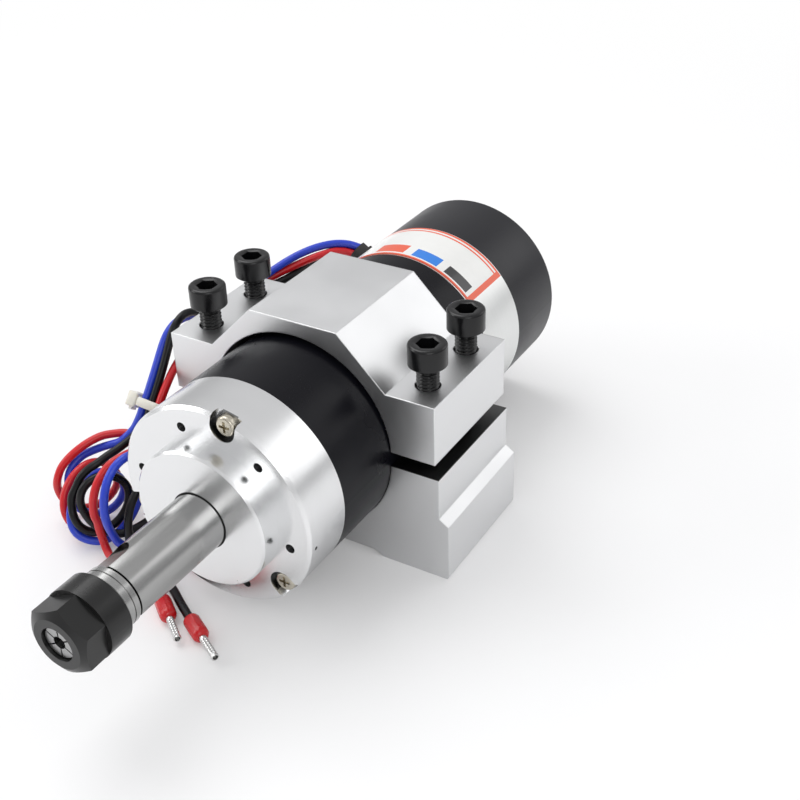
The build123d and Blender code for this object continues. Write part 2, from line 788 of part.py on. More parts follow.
# Routes of the leads, from inside the grommet, past the clamp and through the tie, into the hank
lead_routes = {
    "blue": [
        (-24.0, 51.3, 50.3), (-26.7, 50.2, 51.4), (-29.1, 48.3, 52.1), (-31.7, 45.5, 52.5), (-35.2, 40.4, 52.2),
        (-38.9, 34.2, 50.6), (-42.6, 27.0, 47.7), (-45.2, 18.8, 45.6), (-46.3, 10.0, 45.0), (-46.5, 1.8, 46.2),
        (-46.5, -5.0, 48.3), (-46.5, -10.4, 48.9), (-46.6, -14.7, 46.6), (-46.6, -18.0, 42.4),
        (-46.5, -22.3, 36.9), (-46.8, -27.3, 30.2), (-48.1, -34.5, 26.0), (-49.1, -40.6, 21.4),
    ],
    "red": [
        (-25.1, 52.1, 48.4), (-27.8, 50.9, 49.4), (-30.1, 48.9, 50.0), (-32.5, 46.1, 50.3), (-35.7, 41.1, 49.9),
        (-39.0, 35.0, 48.3), (-42.6, 27.8, 45.3), (-45.0, 19.2, 42.9), (-45.4, 9.8, 41.7), (-44.7, 0.2, 41.3),
        (-43.5, -8.0, 41.2), (-42.4, -15.6, 40.6), (-41.6, -22.7, 36.3), (-42.0, -27.4, 30.0),
        (-43.4, -35.0, 25.6), (-44.6, -41.9, 20.2),
    ],
    "black": [
        (-24.2, 49.9, 48.4), (-26.6, 48.9, 49.4), (-28.4, 47.1, 50.2), (-30.4, 44.4, 50.7), (-33.5, 39.6, 50.5),
        (-37.0, 33.7, 49.0), (-40.5, 26.6, 46.3), (-42.8, 18.5, 44.4), (-43.8, 9.8, 44.2), (-44.0, 2.0, 46.4),
        (-44.0, -4.2, 50.2), (-44.1, -9.6, 51.7), (-44.1, -14.2, 49.0), (-44.1, -17.4, 43.8),
        (-44.0, -22.3, 37.0), (-44.4, -27.3, 30.1), (-45.7, -34.5, 25.9), (-46.8, -41.2, 20.9),
    ],
}

# Routes of the tails along the surface, from the end of the hank to the end sleeves
tail_routes = {
    "blue": [(-34.6, -51.5, 1.5), (-29.0, -51.3, 1.7), (-23.6, -49.6, 2.1), (-18.2, -47.4, 2.1)],
    "black": [
        (-35.6, -54.2, 1.5), (-29.4, -55.0, 1.5), (-23.2, -55.2, 1.5), (-17.2, -57.2, 1.7),
        (-11.6, -61.0, 2.1), (-5.6, -65.2, 2.1),
    ],
    "red": [
        (-36.8, -56.7, 1.5), (-30.6, -58.0, 1.5), (-24.6, -58.2, 1.8), (-19.3, -60.4, 2.1), (-14.6, -64.0, 2.1),
    ],
}
tail_places = {"blue": tail_spacing, "black": 0.0, "red": -tail_spacing}


def tail_start(colour):
    """Point just inside the end face of the hank where a tail comes out."""
    end_face = Pos(*hank_centre, tail_height) * Rot(0, 0, hank_turn) * Pos(hank_length / 2 - tail_inset, 0, 0)
    return (end_face * Pos(0, tail_places[colour], 0)).position


def corner_radii(points):
    """Arc radius at each inner point: 0.45 of the shorter run divided by the tangent of half the turn."""
    radii = []
    for before, here, after in zip(points, points[1:], points[2:]):
        arriving = here - before
        leaving = after - here
        turn = math.radians(arriving.get_angle(leaving))
        shorter = min(arriving.length, leaving.length)
        radii.append(0.45 * shorter / math.tan(turn / 2))
    return radii


def cord(name, points):
    """A round lead along straight runs joined by tangent arcs; prints its radii and volume."""
    points = [Vector(p) for p in points]
    radii = corner_radii(points)
    path = FilletPolyline(*points, radius=radii)
    plane = Plane(points[0], z_dir=points[1] - points[0])
    solid = sweep(plane * Circle(lead_radius), path=path)
    section = math.pi * lead_radius**2
    print(name, "smallest radius", round(min(radii), 1), "volume / (section x length)",
          round(solid.volume / (section * path.length), 4), "length", round(path.length, 1))
    return solid


def lead(colour):
    """One lead from the grommet to the hank."""
    return cord(colour + " lead", lead_routes[colour])


def tail(colour):
    """One tail from the hank to its end sleeve."""
    return cord(colour + " tail", [tail_start(colour)] + tail_routes[colour])


def tail_end(colour):
    """End point and direction of a tail."""
    last = Vector(tail_routes[colour][-1])
    direction = (last - Vector(tail_routes[colour][-2])).normalized()
    level = Vector(direction.X, direction.Y, 0).normalized()
    return last, level


def lead_hank():
    """Outer shape of the coiled spare lead."""
    oval = Ellipse(hank_half_width, hank_half_height)
    across = extrude(Plane.YZ * oval, hank_length / 2, both=True)
    x, y = hank_centre
    return Pos(x, y, hank_half_height) * Rot(0, 0, hank_turn) * across


def cable_tie():
    """Cable tie strap round the three leads, with its head on the outer side."""
    half_length = tie_lead_spacing + lead_radius + tie_gap
    half_width = lead_radius + tie_gap
    inner = SlotOverall(2 * half_length, 2 * half_width)
    outer = SlotOverall(2 * (half_length + tie_thickness), 2 * (half_width + tie_thickness))
    strap = extrude(outer - inner, tie_width / 2, both=True)
    head = Box(tie_head_height, tie_head_width, tie_head_length)
    head = fillet(head.edges().filter_by(Axis.Z), tie_head_round)
    head_place = half_length + tie_thickness / 2 + tie_head_height / 2
    return Plane(tie_centre, x_dir=(1, 0, 0), z_dir=tie_axis) * (strap + Pos(-head_place, 0, 0) * head)


def end_sleeves():
    """Coloured collars of the crimped ends."""
    return join(crimp(colour, 0, sleeve_length, sleeve_radius) for colour in tail_routes)


def end_pins():
    """Bare pins of the crimped ends."""
    return join(crimp(colour, sleeve_length, sleeve_length + pin_length, pin_radius) for colour in tail_routes)


def crimp(colour, start, end, radius):
    """A round piece in line with a tail's end."""
    place, out = tail_end(colour)
    plane = Plane(place + out * start, z_dir=out)
    return extrude(plane * Circle(radius), end - start)


def build():
    """Every node by name."""
    nodes = {
        "clamp_base": clamp_base(),
        "clamp_cap": clamp_cap(),
        "motor_tube": motor_tube(),
        "front_housing": front_housing(),
        "housing_screws": housing_screws(),
        "lead_ring": lead_ring(),
        "rear_cover": rear_cover(),
        "rear_screws": rear_screws(),
        "bearing_retainer": bearing_retainer(),
        "bearing_locknut": bearing_locknut(),
        "spindle_shaft": spindle_shaft(),
        "retaining_ring": retaining_ring(),
        "wave_washer": wave_washer(),
        "rotor_core": rotor_core(),
        "rotor_magnets": rotor_magnets(),
        "stator_core": stator_core(),
        "stator_windings": stator_windings(),
        "collet": collet(),
        "collet_nut": collet_nut(),
        "extractor_ring": extractor_ring(),
        "lead_gland": lead_gland(),
        "label_plate": label_plate(),
        "lead_hank": lead_hank(),
        "cable_tie": cable_tie(),
        "end_sleeves": end_sleeves(),
        "end_pins": end_pins(),
    }
    for place, (x, y) in clamp_screw_places().items():
        nodes["clamp_screw_" + place] = clamp_screw(x, y)
    front = bearing(front_bearing_front, front_bearing_bore_radius, front_bearing_outer_radius, front_ball_count)
    second = bearing(middle_bearing_front, front_bearing_bore_radius, front_bearing_outer_radius, front_ball_count)
    rear = bearing(rear_bearing_front, rear_bearing_bore_radius, rear_bearing_outer_radius, rear_ball_count)
    for piece in front:
        nodes["front_bearing_" + piece] = join([front[piece], second[piece]])
        nodes["rear_bearing_" + piece] = rear[piece]
    for colour in lead_routes:
        nodes["lead_" + colour] = lead(colour)
        nodes["tail_" + colour] = tail(colour)
    return nodes


os.makedirs("parts", exist_ok=True)
for node, shape in build().items():
    export_step(shape, "parts/" + node + ".step")
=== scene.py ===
"""Motor spindle in its saddle clamp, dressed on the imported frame."""

import logging
import math
from collections.abc import Callable, Iterable, Sequence
from dataclasses import dataclass
from enum import Enum

import bmesh
import bpy
from mathutils import Euler, Matrix, Vector


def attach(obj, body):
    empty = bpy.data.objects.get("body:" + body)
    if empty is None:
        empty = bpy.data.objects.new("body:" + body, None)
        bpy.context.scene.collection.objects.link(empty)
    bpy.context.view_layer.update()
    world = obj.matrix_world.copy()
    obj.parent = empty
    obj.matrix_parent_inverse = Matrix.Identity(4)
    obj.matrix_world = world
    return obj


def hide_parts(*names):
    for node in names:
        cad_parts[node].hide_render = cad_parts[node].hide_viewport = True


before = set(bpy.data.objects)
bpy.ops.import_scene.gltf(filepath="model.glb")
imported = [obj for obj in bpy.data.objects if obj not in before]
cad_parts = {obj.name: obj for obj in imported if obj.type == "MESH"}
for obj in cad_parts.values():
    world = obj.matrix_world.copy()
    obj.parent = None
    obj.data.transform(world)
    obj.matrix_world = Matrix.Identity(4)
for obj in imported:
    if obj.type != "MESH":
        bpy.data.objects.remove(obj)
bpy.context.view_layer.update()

log = logging.getLogger("motor_spindle")

MM = 0.001
AXIS_HEIGHT = 32.25

Point = tuple[float, float, float]
Colour = tuple[float, float, float]
Row = tuple[float, float | Callable[[float], float]]
Socket = bpy.types.NodeSocket

# Points of each lead in millimetres, from the grommet through the tie to the hank
RED_RUN: tuple[Point, ...] = (
    (-24.2, 49.9, 48.4), (-26.6, 48.9, 49.4), (-28.4, 47.1, 50.2), (-30.4, 44.4, 50.7),
    (-33.6, 39.5, 50.2), (-38.2, 34.6, 48.2), (-43.8, 27.8, 45.3), (-45.2, 19.2, 42.9),
    (-45.4, 9.8, 41.7), (-44.7, 0.2, 41.3), (-43.5, -8.0, 41.2), (-42.4, -15.6, 40.6),
    (-41.6, -22.7, 36.3), (-42.0, -27.4, 30.0), (-42.0, -29.5, 27.5), (-43.0, -30.0, 25.0),
    (-45.5, -30.0, 23.0), (-48.5, -30.0, 22.5), (-51.5, -31.0, 23.0), (-54.0, -33.0, 23.0),
    (-56.0, -35.0, 23.0), (-57.5, -37.5, 22.5), (-59.0, -40.0, 21.5), (-60.5, -42.5, 20.0),
    (-62.0, -44.5, 18.0), (-63.0, -46.0, 16.0), (-63.5, -47.5, 13.0),
)
BLUE_RUN: tuple[Point, ...] = (
    (-24.0, 51.3, 50.3), (-26.7, 50.2, 51.4), (-29.1, 48.3, 52.1), (-31.7, 45.5, 52.5),
    (-35.2, 40.4, 52.2), (-38.9, 34.2, 50.6), (-42.6, 27.0, 47.7), (-45.2, 18.8, 45.6),
    (-46.3, 10.0, 45.0), (-46.5, 1.8, 46.2), (-46.5, -5.0, 48.3), (-46.5, -10.4, 48.9),
    (-46.6, -14.7, 46.6), (-46.6, -18.0, 42.4), (-46.5, -22.3, 36.9), (-46.8, -27.3, 30.2),
    (-47.0, -29.0, 28.0), (-47.5, -31.0, 25.5), (-48.5, -33.0, 24.0), (-50.5, -34.0, 22.0),
    (-53.0, -35.0, 21.0), (-55.5, -36.0, 20.0), (-58.0, -38.0, 19.0), (-60.0, -40.0, 18.0),
    (-61.0, -42.5, 16.5), (-61.5, -44.5, 14.5), (-61.0, -46.0, 12.0),
)
BLACK_RUN: tuple[Point, ...] = (
    (-25.1, 52.1, 48.4), (-27.8, 50.9, 49.3), (-30.1, 48.9, 49.6), (-32.6, 46.1, 49.4),
    (-35.6, 41.2, 48.0), (-38.0, 34.2, 45.4), (-40.6, 26.8, 44.8), (-42.8, 18.5, 44.0),
    (-43.8, 9.8, 44.2), (-44.0, 2.0, 46.4), (-44.0, -4.2, 50.2), (-44.1, -9.6, 51.7),
    (-44.1, -14.2, 49.0), (-44.1, -17.4, 43.8), (-44.0, -22.3, 37.0), (-44.4, -27.3, 30.1),
    (-44.5, -29.5, 27.5), (-45.0, -31.5, 26.5), (-45.0, -34.5, 25.5), (-45.5, -37.5, 25.0),
    (-46.0, -40.0, 24.5), (-47.0, -43.0, 24.0), (-48.0, -46.0, 23.0), (-49.5, -48.0, 22.0),
    (-51.0, -50.0, 20.0), (-51.5, -51.5, 17.5), (-52.5, -53.0, 15.0), (-52.0, -54.0, 12.0),
)

# Turns of each lead round the hank: far side, bottom, near side and top in order, as along, across, height
RED_TURNS: tuple[Point, ...] = (
    (-11.5, -6.7, 9.9), (-9.4, 0.8, 1.4), (-6.8, 9.3, 10.2), (-6.8, 1.7, 17.8),
    (-1.9, -8.3, 7.8), (2.9, -2.0, 1.5), (3.4, 15.4, 18.3), (9.4, 6.9, 27.3),
    (11.2, -3.9, 13.5),
)
BLUE_TURNS: tuple[Point, ...] = (
    (-7.8, -4.4, 7.8), (-4.2, 2.1, 1.8), (-2.9, 9.6, 9.7), (-4.2, 2.5, 15.9),
    (2.6, -8.2, 6.1), (7.5, -2.5, 1.8), (10.9, 11.4, 25.2), (14.0, 6.5, 30.0),
    (17.7, -2.8, 15.9),
)
BLACK_TURNS: tuple[Point, ...] = (
    (3.7, -7.5, 10.0), (6.4, -1.9, 4.0), (6.6, 7.8, 14.2), (5.0, 0.5, 20.8),
    (4.7, -5.3, 14.4), (11.1, 3.0, 4.3), (10.9, 19.1, 15.3), (14.4, 14.0, 22.5),
    (18.4, 2.3, 8.2),
)

# Points of each lead from the hank to its sleeve
RED_TAIL: tuple[Point, ...] = (
    (-42.5, -54.5, 11.5), (-42.5, -54.5, 8.5), (-42.5, -54.0, 5.5), (-41.5, -54.5, 3.2),
    (-39.5, -55.5, 1.9), (-36.5, -56.5, 1.4), (-33.5, -57.0, 1.3), (-30.5, -57.5, 1.5),
    (-27.5, -57.4, 1.8), (-24.6, -57.6, 2.1), (-20.3, -59.0, 2.25), (-15.4, -62.6, 2.25),
)
BLUE_TAIL: tuple[Point, ...] = (
    (-37.5, -55.5, 11.5), (-37.5, -54.5, 8.5), (-37.0, -54.0, 6.0), (-35.0, -52.5, 4.0),
    (-32.5, -52.0, 2.5), (-29.5, -51.0, 2.0), (-26.5, -50.5, 2.0), (-23.6, -49.6, 2.25),
    (-18.2, -47.4, 2.25),
)
BLACK_TAIL: tuple[Point, ...] = (
    (-33.0, -54.0, 5.5), (-31.5, -54.5, 3.5), (-29.0, -55.0, 2.2), (-26.0, -55.0, 1.6),
    (-23.2, -55.2, 1.5), (-16.6, -57.2, 1.9), (-9.6, -62.0, 2.25), (-4.4, -64.9, 2.25),
)


class Body(Enum):
    """Bodies of the frame that the scene's own pieces ride on."""

    HOUSING = "housing"
    LEFT_FRONT = "screw_left_front"
    LEFT_REAR = "screw_left_rear"
    RIGHT_FRONT = "screw_right_front"
    RIGHT_REAR = "screw_right_rear"


class LeadColour(Enum):
    """The three leads."""

    RED = "red"
    BLUE = "blue"
    BLACK = "black"


def put(name: str, data: bpy.types.ID) -> bpy.types.Object:
    """Puts a mesh, curve, lamp or camera in the scene.

    Args:
        name: Name of the new object.
        data: What it shows.

    Returns:
        The new object.
    """
    item = bpy.data.objects.new(name, data)
    bpy.context.scene.collection.objects.link(item)
    return item


# Node helpers


class NodeSheet:
    """A node tree with short ways to add and join nodes."""

    def __init__(self, tree: bpy.types.NodeTree) -> None:
        """Takes up a tree.

        Args:
            tree: Tree that the nodes go into.
        """
        self.tree = tree

    def feed(self, source: object, target: Socket) -> None:
        """Joins a socket to another, or sets a plain value on it.

        Args:
            source: Socket or value.
            target: Input that it goes to.
        """
        if isinstance(source, Socket):
            self.tree.links.new(source, target)
        else:
            target.default_value = source

    def add(
        self, kind: str, feeds: dict[str | int, object] | None = None, **settings: object
    ) -> bpy.types.Node:
        """Adds one node and feeds its inputs.

        Args:
            kind: Blender's name of the node type.
            feeds: Sockets or values by input name or number.
            settings: Properties to set on it.

        Returns:
            The new node.
        """
        node = self.tree.nodes.new(kind)
        for key, value in settings.items():
            setattr(node, key, value)
        for key, value in (feeds or {}).items():
            self.feed(value, node.inputs[key])
        return node

    def sums(self, operation: str, *values: object) -> Socket:
        """Adds a Math node and gives its result."""
        return self.add("ShaderNodeMath", dict(enumerate(values)), operation=operation).outputs[0]


class MaterialSheet(NodeSheet):
    """The node tree of a new material."""

    NOISE_LOW = 0.25
    NOISE_HIGH = 0.75
    NOISE_ROUGHNESS = 0.55

    def __init__(self, name: str) -> None:
        """Starts with a Principled shader joined to the output.

        Args:
            name: Name of the new material.
        """
        self.material = bpy.data.materials.new(name)
        self.material.use_nodes = True
        super().__init__(self.material.node_tree)
        self.tree.nodes.clear()
        self.shader = self.add("ShaderNodeBsdfPrincipled")
        self.output = self.add("ShaderNodeOutputMaterial", {"Surface": self.shader.outputs["BSDF"]})
        self._place: Socket | None = None

    def place(self) -> Socket:
        """Object coordinates, from one node that is made on first use.

        Returns:
            The coordinates in metres.
        """
        if self._place is None:
            self._place = self.add("ShaderNodeTexCoord").outputs["Object"]
        return self._place

    def axes(self) -> tuple[Socket, Socket, Socket]:
        """The three object coordinates.

        Returns:
            x, y and z in metres, with z counted from the spindle axis.
        """
        parts = self.add("ShaderNodeSeparateXYZ", {0: self.place()})
        return parts.outputs[0], parts.outputs[1], self.sums("SUBTRACT", parts.outputs[2], AXIS_HEIGHT * MM)

    def reach(self) -> Socket:
        """Distance from the spindle axis.

        Returns:
            The distance in metres.
        """
        x, _, z = self.axes()
        squares = self.sums("ADD", self.sums("MULTIPLY", x, x), self.sums("MULTIPLY", z, z))
        return self.sums("SQRT", squares)

    def stretched(self, scale: Point) -> Socket:
        """Object coordinates stretched by a Mapping node.

        Args:
            scale: Factor along each axis.

        Returns:
            The stretched coordinates.
        """
        mapping = self.add("ShaderNodeMapping", {"Vector": self.place(), "Scale": scale})
        return mapping.outputs["Vector"]

    def noise(self, vector: object, scale: float, detail: float = 3.0) -> Socket:
        """Soft noise.

        Args:
            vector: Coordinates it reads.
            scale: Size of the pattern, larger is finer.
            detail: Number of finer layers.

        Returns:
            Noise from 0 to 1.
        """
        feeds = {"Vector": vector, "Scale": scale, "Detail": detail, "Roughness": self.NOISE_ROUGHNESS}
        return self.add("ShaderNodeTexNoise", feeds).outputs["Fac"]

    def line_noise(self, along: object, scale: float, detail: float = 4.0) -> Socket:
        """Noise that changes in one direction only, as tool marks do.

        Args:
            along: Distance that it reads.
            scale: Size of the pattern, larger is finer.
            detail: Number of finer layers.

        Returns:
            Noise from 0 to 1.
        """
        feeds = {"W": along, "Scale": scale, "Detail": detail}
        return self.add("ShaderNodeTexNoise", feeds, noise_dimensions="1D").outputs["Fac"]

    def spread(self, value: object, low: float, high: float) -> Socket:
        """Spreads a noise over a range.

        Args:
            value: Noise, which lies mostly between its own low and high.
            low: Least result.
            high: Greatest result.

        Returns:
            The spread value.
        """
        given = {"Value": value, "From Min": self.NOISE_LOW, "From Max": self.NOISE_HIGH}
        return self.add("ShaderNodeMapRange", {**given, "To Min": low, "To Max": high}).outputs["Result"]

    def blend(self, share: object, first: object, second: object) -> Socket:
        """Mixes two colours.

        Args:
            share: 0 gives the first, 1 the second.
            first: Colour or socket.
            second: Colour or socket.

        Returns:
            The mixed colour.
        """
        node = self.add("ShaderNodeMix", data_type="RGBA")
        self.feed(share, node.inputs[0])
        for value, socket in ((first, node.inputs[6]), (second, node.inputs[7])):
            self.feed(value if isinstance(value, Socket) else (*value, 1.0), socket)
        return node.outputs[2]

    def window(self, value: object, low: float, high: float) -> Socket:
        """1 where a value lies between two limits, 0 elsewhere."""
        above = self.sums("GREATER_THAN", value, low)
        return self.sums("MULTIPLY", above, self.sums("LESS_THAN", value, high))

    def relief(self, height: object, strength: float, depth_mm: float, edge_mm: float = 0.0) -> None:
        """Gives the shader a bump.

        Args:
            height: Height pattern from 0 to 1.
            strength: Share of the effect.
            depth_mm: Height of the relief in millimetres.
            edge_mm: Radius that sharp edges are shaded with.
        """
        feeds = {"Height": height, "Strength": strength, "Distance": depth_mm * MM}
        if edge_mm:
            feeds["Normal"] = self.add("ShaderNodeBevel", {"Radius": edge_mm * MM}, samples=6).outputs[0]
        self.set("Normal", self.add("ShaderNodeBump", feeds).outputs["Normal"])

    def brushed(self, stretch: float) -> None:
        """Makes the shader bare metal with highlights stretched round the spindle axis.

        Args:
            stretch: How far the highlights are stretched, from 0 to 1.
        """
        tangent = self.add("ShaderNodeTangent", direction_type="RADIAL", axis="Y")
        self.set("Tangent", tangent.outputs[0])
        self.set("Anisotropic", stretch)
        self.set("Metallic", 1.0)

    def set(self, socket: str, value: object) -> None:
        """Feeds one of the shader's sockets."""
        self.feed(value, self.shader.inputs[socket])


class GeometrySheet(NodeSheet):
    """A Geometry Nodes tree with named inputs."""

    RINGS_PER_TURN = 8.0

    def __init__(self, name: str) -> None:
        """Starts a tree with a mesh output.

        Args:
            name: Name of the new tree.
        """
        super().__init__(bpy.data.node_groups.new(name, "GeometryNodeTree"))
        for way in ("INPUT", "OUTPUT"):
            self.tree.interface.new_socket("Geometry", in_out=way, socket_type="NodeSocketGeometry")
        self.start = self.add("NodeGroupInput")
        self.end = self.add("NodeGroupOutput")

    def asks(self, name: str, kind: str = "NodeSocketFloat") -> Socket:
        """Adds a named input and gives the socket that it has inside the tree."""
        self.tree.interface.new_socket(name, in_out="INPUT", socket_type=kind)
        return self.start.outputs[name]

    def thread(
        self, sides: int, length: object, outer: object, root: object, pitch: object, ends: str
    ) -> Socket:
        """Makes a cylinder about z with a helical thread pressed into its wall.

        Args:
            sides: Points round the cylinder.
            length: Length of the thread.
            outer: Radius of the cylinder.
            root: Radius that the thread reaches.
            pitch: Rise of one turn.
            ends: Blender's name of the way its ends are filled.

        Returns:
            The threaded mesh.
        """
        rings = self.sums("MULTIPLY", self.sums("DIVIDE", length, pitch), self.RINGS_PER_TURN)
        size = {"Vertices": sides, "Side Segments": rings, "Radius": outer, "Depth": length}
        wall = self.add("GeometryNodeMeshCylinder", size, fill_type=ends).outputs["Mesh"]
        parts = self.add("ShaderNodeSeparateXYZ", {0: self.add("GeometryNodeInputPosition").outputs[0]})
        x, y, z = parts.outputs
        turn = self.sums("DIVIDE", self.sums("ARCTAN2", y, x), 2 * math.pi)
        phase = self.sums("SUBTRACT", self.sums("DIVIDE", z, pitch), turn)
        saw = self.sums("ABSOLUTE", self.sums("SUBTRACT", self.sums("FRACT", phase), 0.5))
        height = self.sums("MULTIPLY", saw, 2.0)
        depth = self.sums("SUBTRACT", outer, root)
        wanted = self.sums("ADD", root, self.sums("MULTIPLY", depth, height))
        square = self.sums("ADD", self.sums("MULTIPLY", x, x), self.sums("MULTIPLY", y, y))
        factor = self.sums("DIVIDE", wanted, self.sums("MAXIMUM", self.sums("SQRT", square), 1e-6))
        moved = self.add(
            "ShaderNodeCombineXYZ",
            {0: self.sums("MULTIPLY", x, factor), 1: self.sums("MULTIPLY", y, factor), 2: z},
        )
        placed = self.add("GeometryNodeSetPosition", {"Geometry": wall, "Position": moved.outputs[0]})
        return placed.outputs[0]

    def close(self, mesh: object, finish: object) -> None:
        """Ends the tree with plain geometry and its material.

        Args:
            mesh: Geometry, which may hold instances.
            finish: Socket of the material.
        """
        real = self.add("GeometryNodeRealizeInstances", {"Geometry": mesh})
        dressed = self.add("GeometryNodeSetMaterial", {"Geometry": real.outputs[0], "Material": finish})
        self.feed(dressed.outputs[0], self.end.inputs[0])

    def grow(self, name: str, values: dict[str, object]) -> bpy.types.Object:
        """Runs the tree and keeps its result as a plain mesh.

        Args:
            name: Name of the new piece.
            values: Value of each named input.

        Returns:
            The new object, at the origin.
        """
        seed = put(name + "_seed", bpy.data.meshes.new(name + "_seed"))
        modifier = seed.modifiers.new("nodes", "NODES")
        modifier.node_group = self.tree
        for item in self.tree.interface.items_tree:
            if item.in_out == "INPUT" and item.name in values:
                modifier[item.identifier] = values[item.name]
        graph = bpy.context.evaluated_depsgraph_get()
        graph.update()
        mesh = bpy.data.meshes.new_from_object(seed.evaluated_get(graph), depsgraph=graph)
        bpy.data.objects.remove(seed)
        mesh.name = name
        return put(name, mesh)


# Finishes


@dataclass(frozen=True)
class Finish:
    """What every finish has: its material's name and its main colour."""

    name: str
    colour: Colour

    def toned(self, share: float) -> Colour:
        """The main colour, made darker or lighter."""
        return tuple(share * part for part in self.colour)

    def make(self) -> bpy.types.Material:
        """Builds the material; each kind of finish has its own way."""
        raise NotImplementedError


@dataclass(frozen=True)
class MilledMetal(Finish):
    """Bare metal with faint milling lines along the spindle axis, and painted shade on the faces where the
    clamp's two halves meet.
    """

    roughness: float = 0.36
    line_scale: float = 2600.0
    depth_mm: float = 0.012
    edge_mm: float = 0.42
    joint_shade_low_mm: float = -1.6
    joint_shade_high_mm: float = 1.35
    joint_shade_share: float = 0.12
    line_stretch: Point = (1.0, 0.03, 1.0)
    line_detail: float = 2.0
    line_strength: float = 0.35
    cloud_scale: float = 38.0
    cloud_detail: float = 4.0
    dark_share: float = 0.93

    def make(self) -> bpy.types.Material:
        """Builds the material.

        Returns:
            The new material.
        """
        sheet = MaterialSheet(self.name)
        lines = sheet.noise(sheet.stretched(self.line_stretch), self.line_scale, self.line_detail)
        cloud = sheet.noise(sheet.place(), self.cloud_scale, self.cloud_detail)
        metal = sheet.blend(cloud, self.toned(self.dark_share), self.colour)
        _, _, height = sheet.axes()
        # Painted shade: in a thin band of height about the axis, where the clamp's two halves meet, the
        # metal is darkened to a small share of its colour.
        joint_shade = sheet.window(height, self.joint_shade_low_mm * MM, self.joint_shade_high_mm * MM)
        sheet.set("Base Color", sheet.blend(joint_shade, metal, self.toned(self.joint_shade_share)))
        sheet.set("Metallic", 1.0)
        sheet.set("Roughness", sheet.spread(cloud, self.roughness - 0.05, self.roughness + 0.07))
        sheet.relief(lines, self.line_strength, self.depth_mm, self.edge_mm)
        return sheet.material


@dataclass(frozen=True)
class TurnedMetal(Finish):
    """Bright metal with fine turning rings about the spindle axis, with painted shade in the screw pockets
    when their place is given.
    """

    roughness: float = 0.26
    ring_scale: float = 1500.0
    depth_mm: float = 0.008
    stretch: float = 0.45
    pocket_reach_mm: float = 0.0
    pocket_radius_mm: float = 3.55
    pocket_face_mm: float = -55.05
    pocket_depth_mm: float = 3.0
    pocket_turn: float = 12.4
    pocket_count: int = 3
    pocket_shade_share: float = 0.30
    ring_strength: float = 0.12
    broad_ratio: float = 14.0
    face_slip: float = 1.37
    cloud_scale: float = 60.0
    cloud_detail: float = 4.0
    dark_share: float = 0.90

    def pockets(self, sheet: MaterialSheet) -> Socket:
        """A mask of the screw pockets, where the painted shade goes.

        Args:
            sheet: The material's sheet.

        Returns:
            1 inside the pockets, 0 elsewhere.
        """
        x, y, z = sheet.axes()
        sector = 360.0 / self.pocket_count
        turn = sheet.sums("SUBTRACT", sheet.sums("DEGREES", sheet.sums("ARCTAN2", x, z)), self.pocket_turn)
        turned = sheet.sums("FLOORED_MODULO", sheet.sums("ADD", turn, sector / 2), sector)
        angle = sheet.sums("RADIANS", sheet.sums("SUBTRACT", turned, sector / 2))
        reach = sheet.reach()
        forward = sheet.sums("MULTIPLY", reach, sheet.sums("COSINE", angle))
        out = sheet.sums("SUBTRACT", forward, self.pocket_reach_mm * MM)
        aside = sheet.sums("MULTIPLY", reach, sheet.sums("SINE", angle))
        out_square = sheet.sums("MULTIPLY", out, out)
        square = sheet.sums("ADD", out_square, sheet.sums("MULTIPLY", aside, aside))
        inside = sheet.sums("LESS_THAN", sheet.sums("SQRT", square), self.pocket_radius_mm * MM)
        deep = sheet.sums("GREATER_THAN", y, self.pocket_face_mm * MM)
        shallow = sheet.sums("LESS_THAN", y, (self.pocket_face_mm + self.pocket_depth_mm) * MM)
        return sheet.sums("MULTIPLY", inside, sheet.sums("MULTIPLY", deep, shallow))

    def make(self) -> bpy.types.Material:
        """Builds the material.

        Returns:
            The new material.
        """
        sheet = MaterialSheet(self.name)
        _, y, _ = sheet.axes()
        along = sheet.sums("ADD", sheet.reach(), sheet.sums("MULTIPLY", y, self.face_slip))
        rings = sheet.line_noise(along, self.ring_scale)
        broad = sheet.line_noise(along, self.ring_scale / self.broad_ratio)
        cloud = sheet.noise(sheet.place(), self.cloud_scale, self.cloud_detail)
        tone = sheet.sums("MULTIPLY", sheet.sums("ADD", rings, broad), 0.5)
        metal = sheet.blend(tone, self.toned(self.dark_share), self.colour)
        # Painted shade: the screw pockets are darkened to a share of the metal's colour.
        if self.pocket_reach_mm:
            metal = sheet.blend(self.pockets(sheet), metal, self.toned(self.pocket_shade_share))
        sheet.set("Base Color", metal)
        sheet.set("Roughness", sheet.spread(cloud, self.roughness - 0.03, self.roughness + 0.05))
        sheet.brushed(self.stretch)
        sheet.relief(rings, self.ring_strength, self.depth_mm)
        return sheet.material


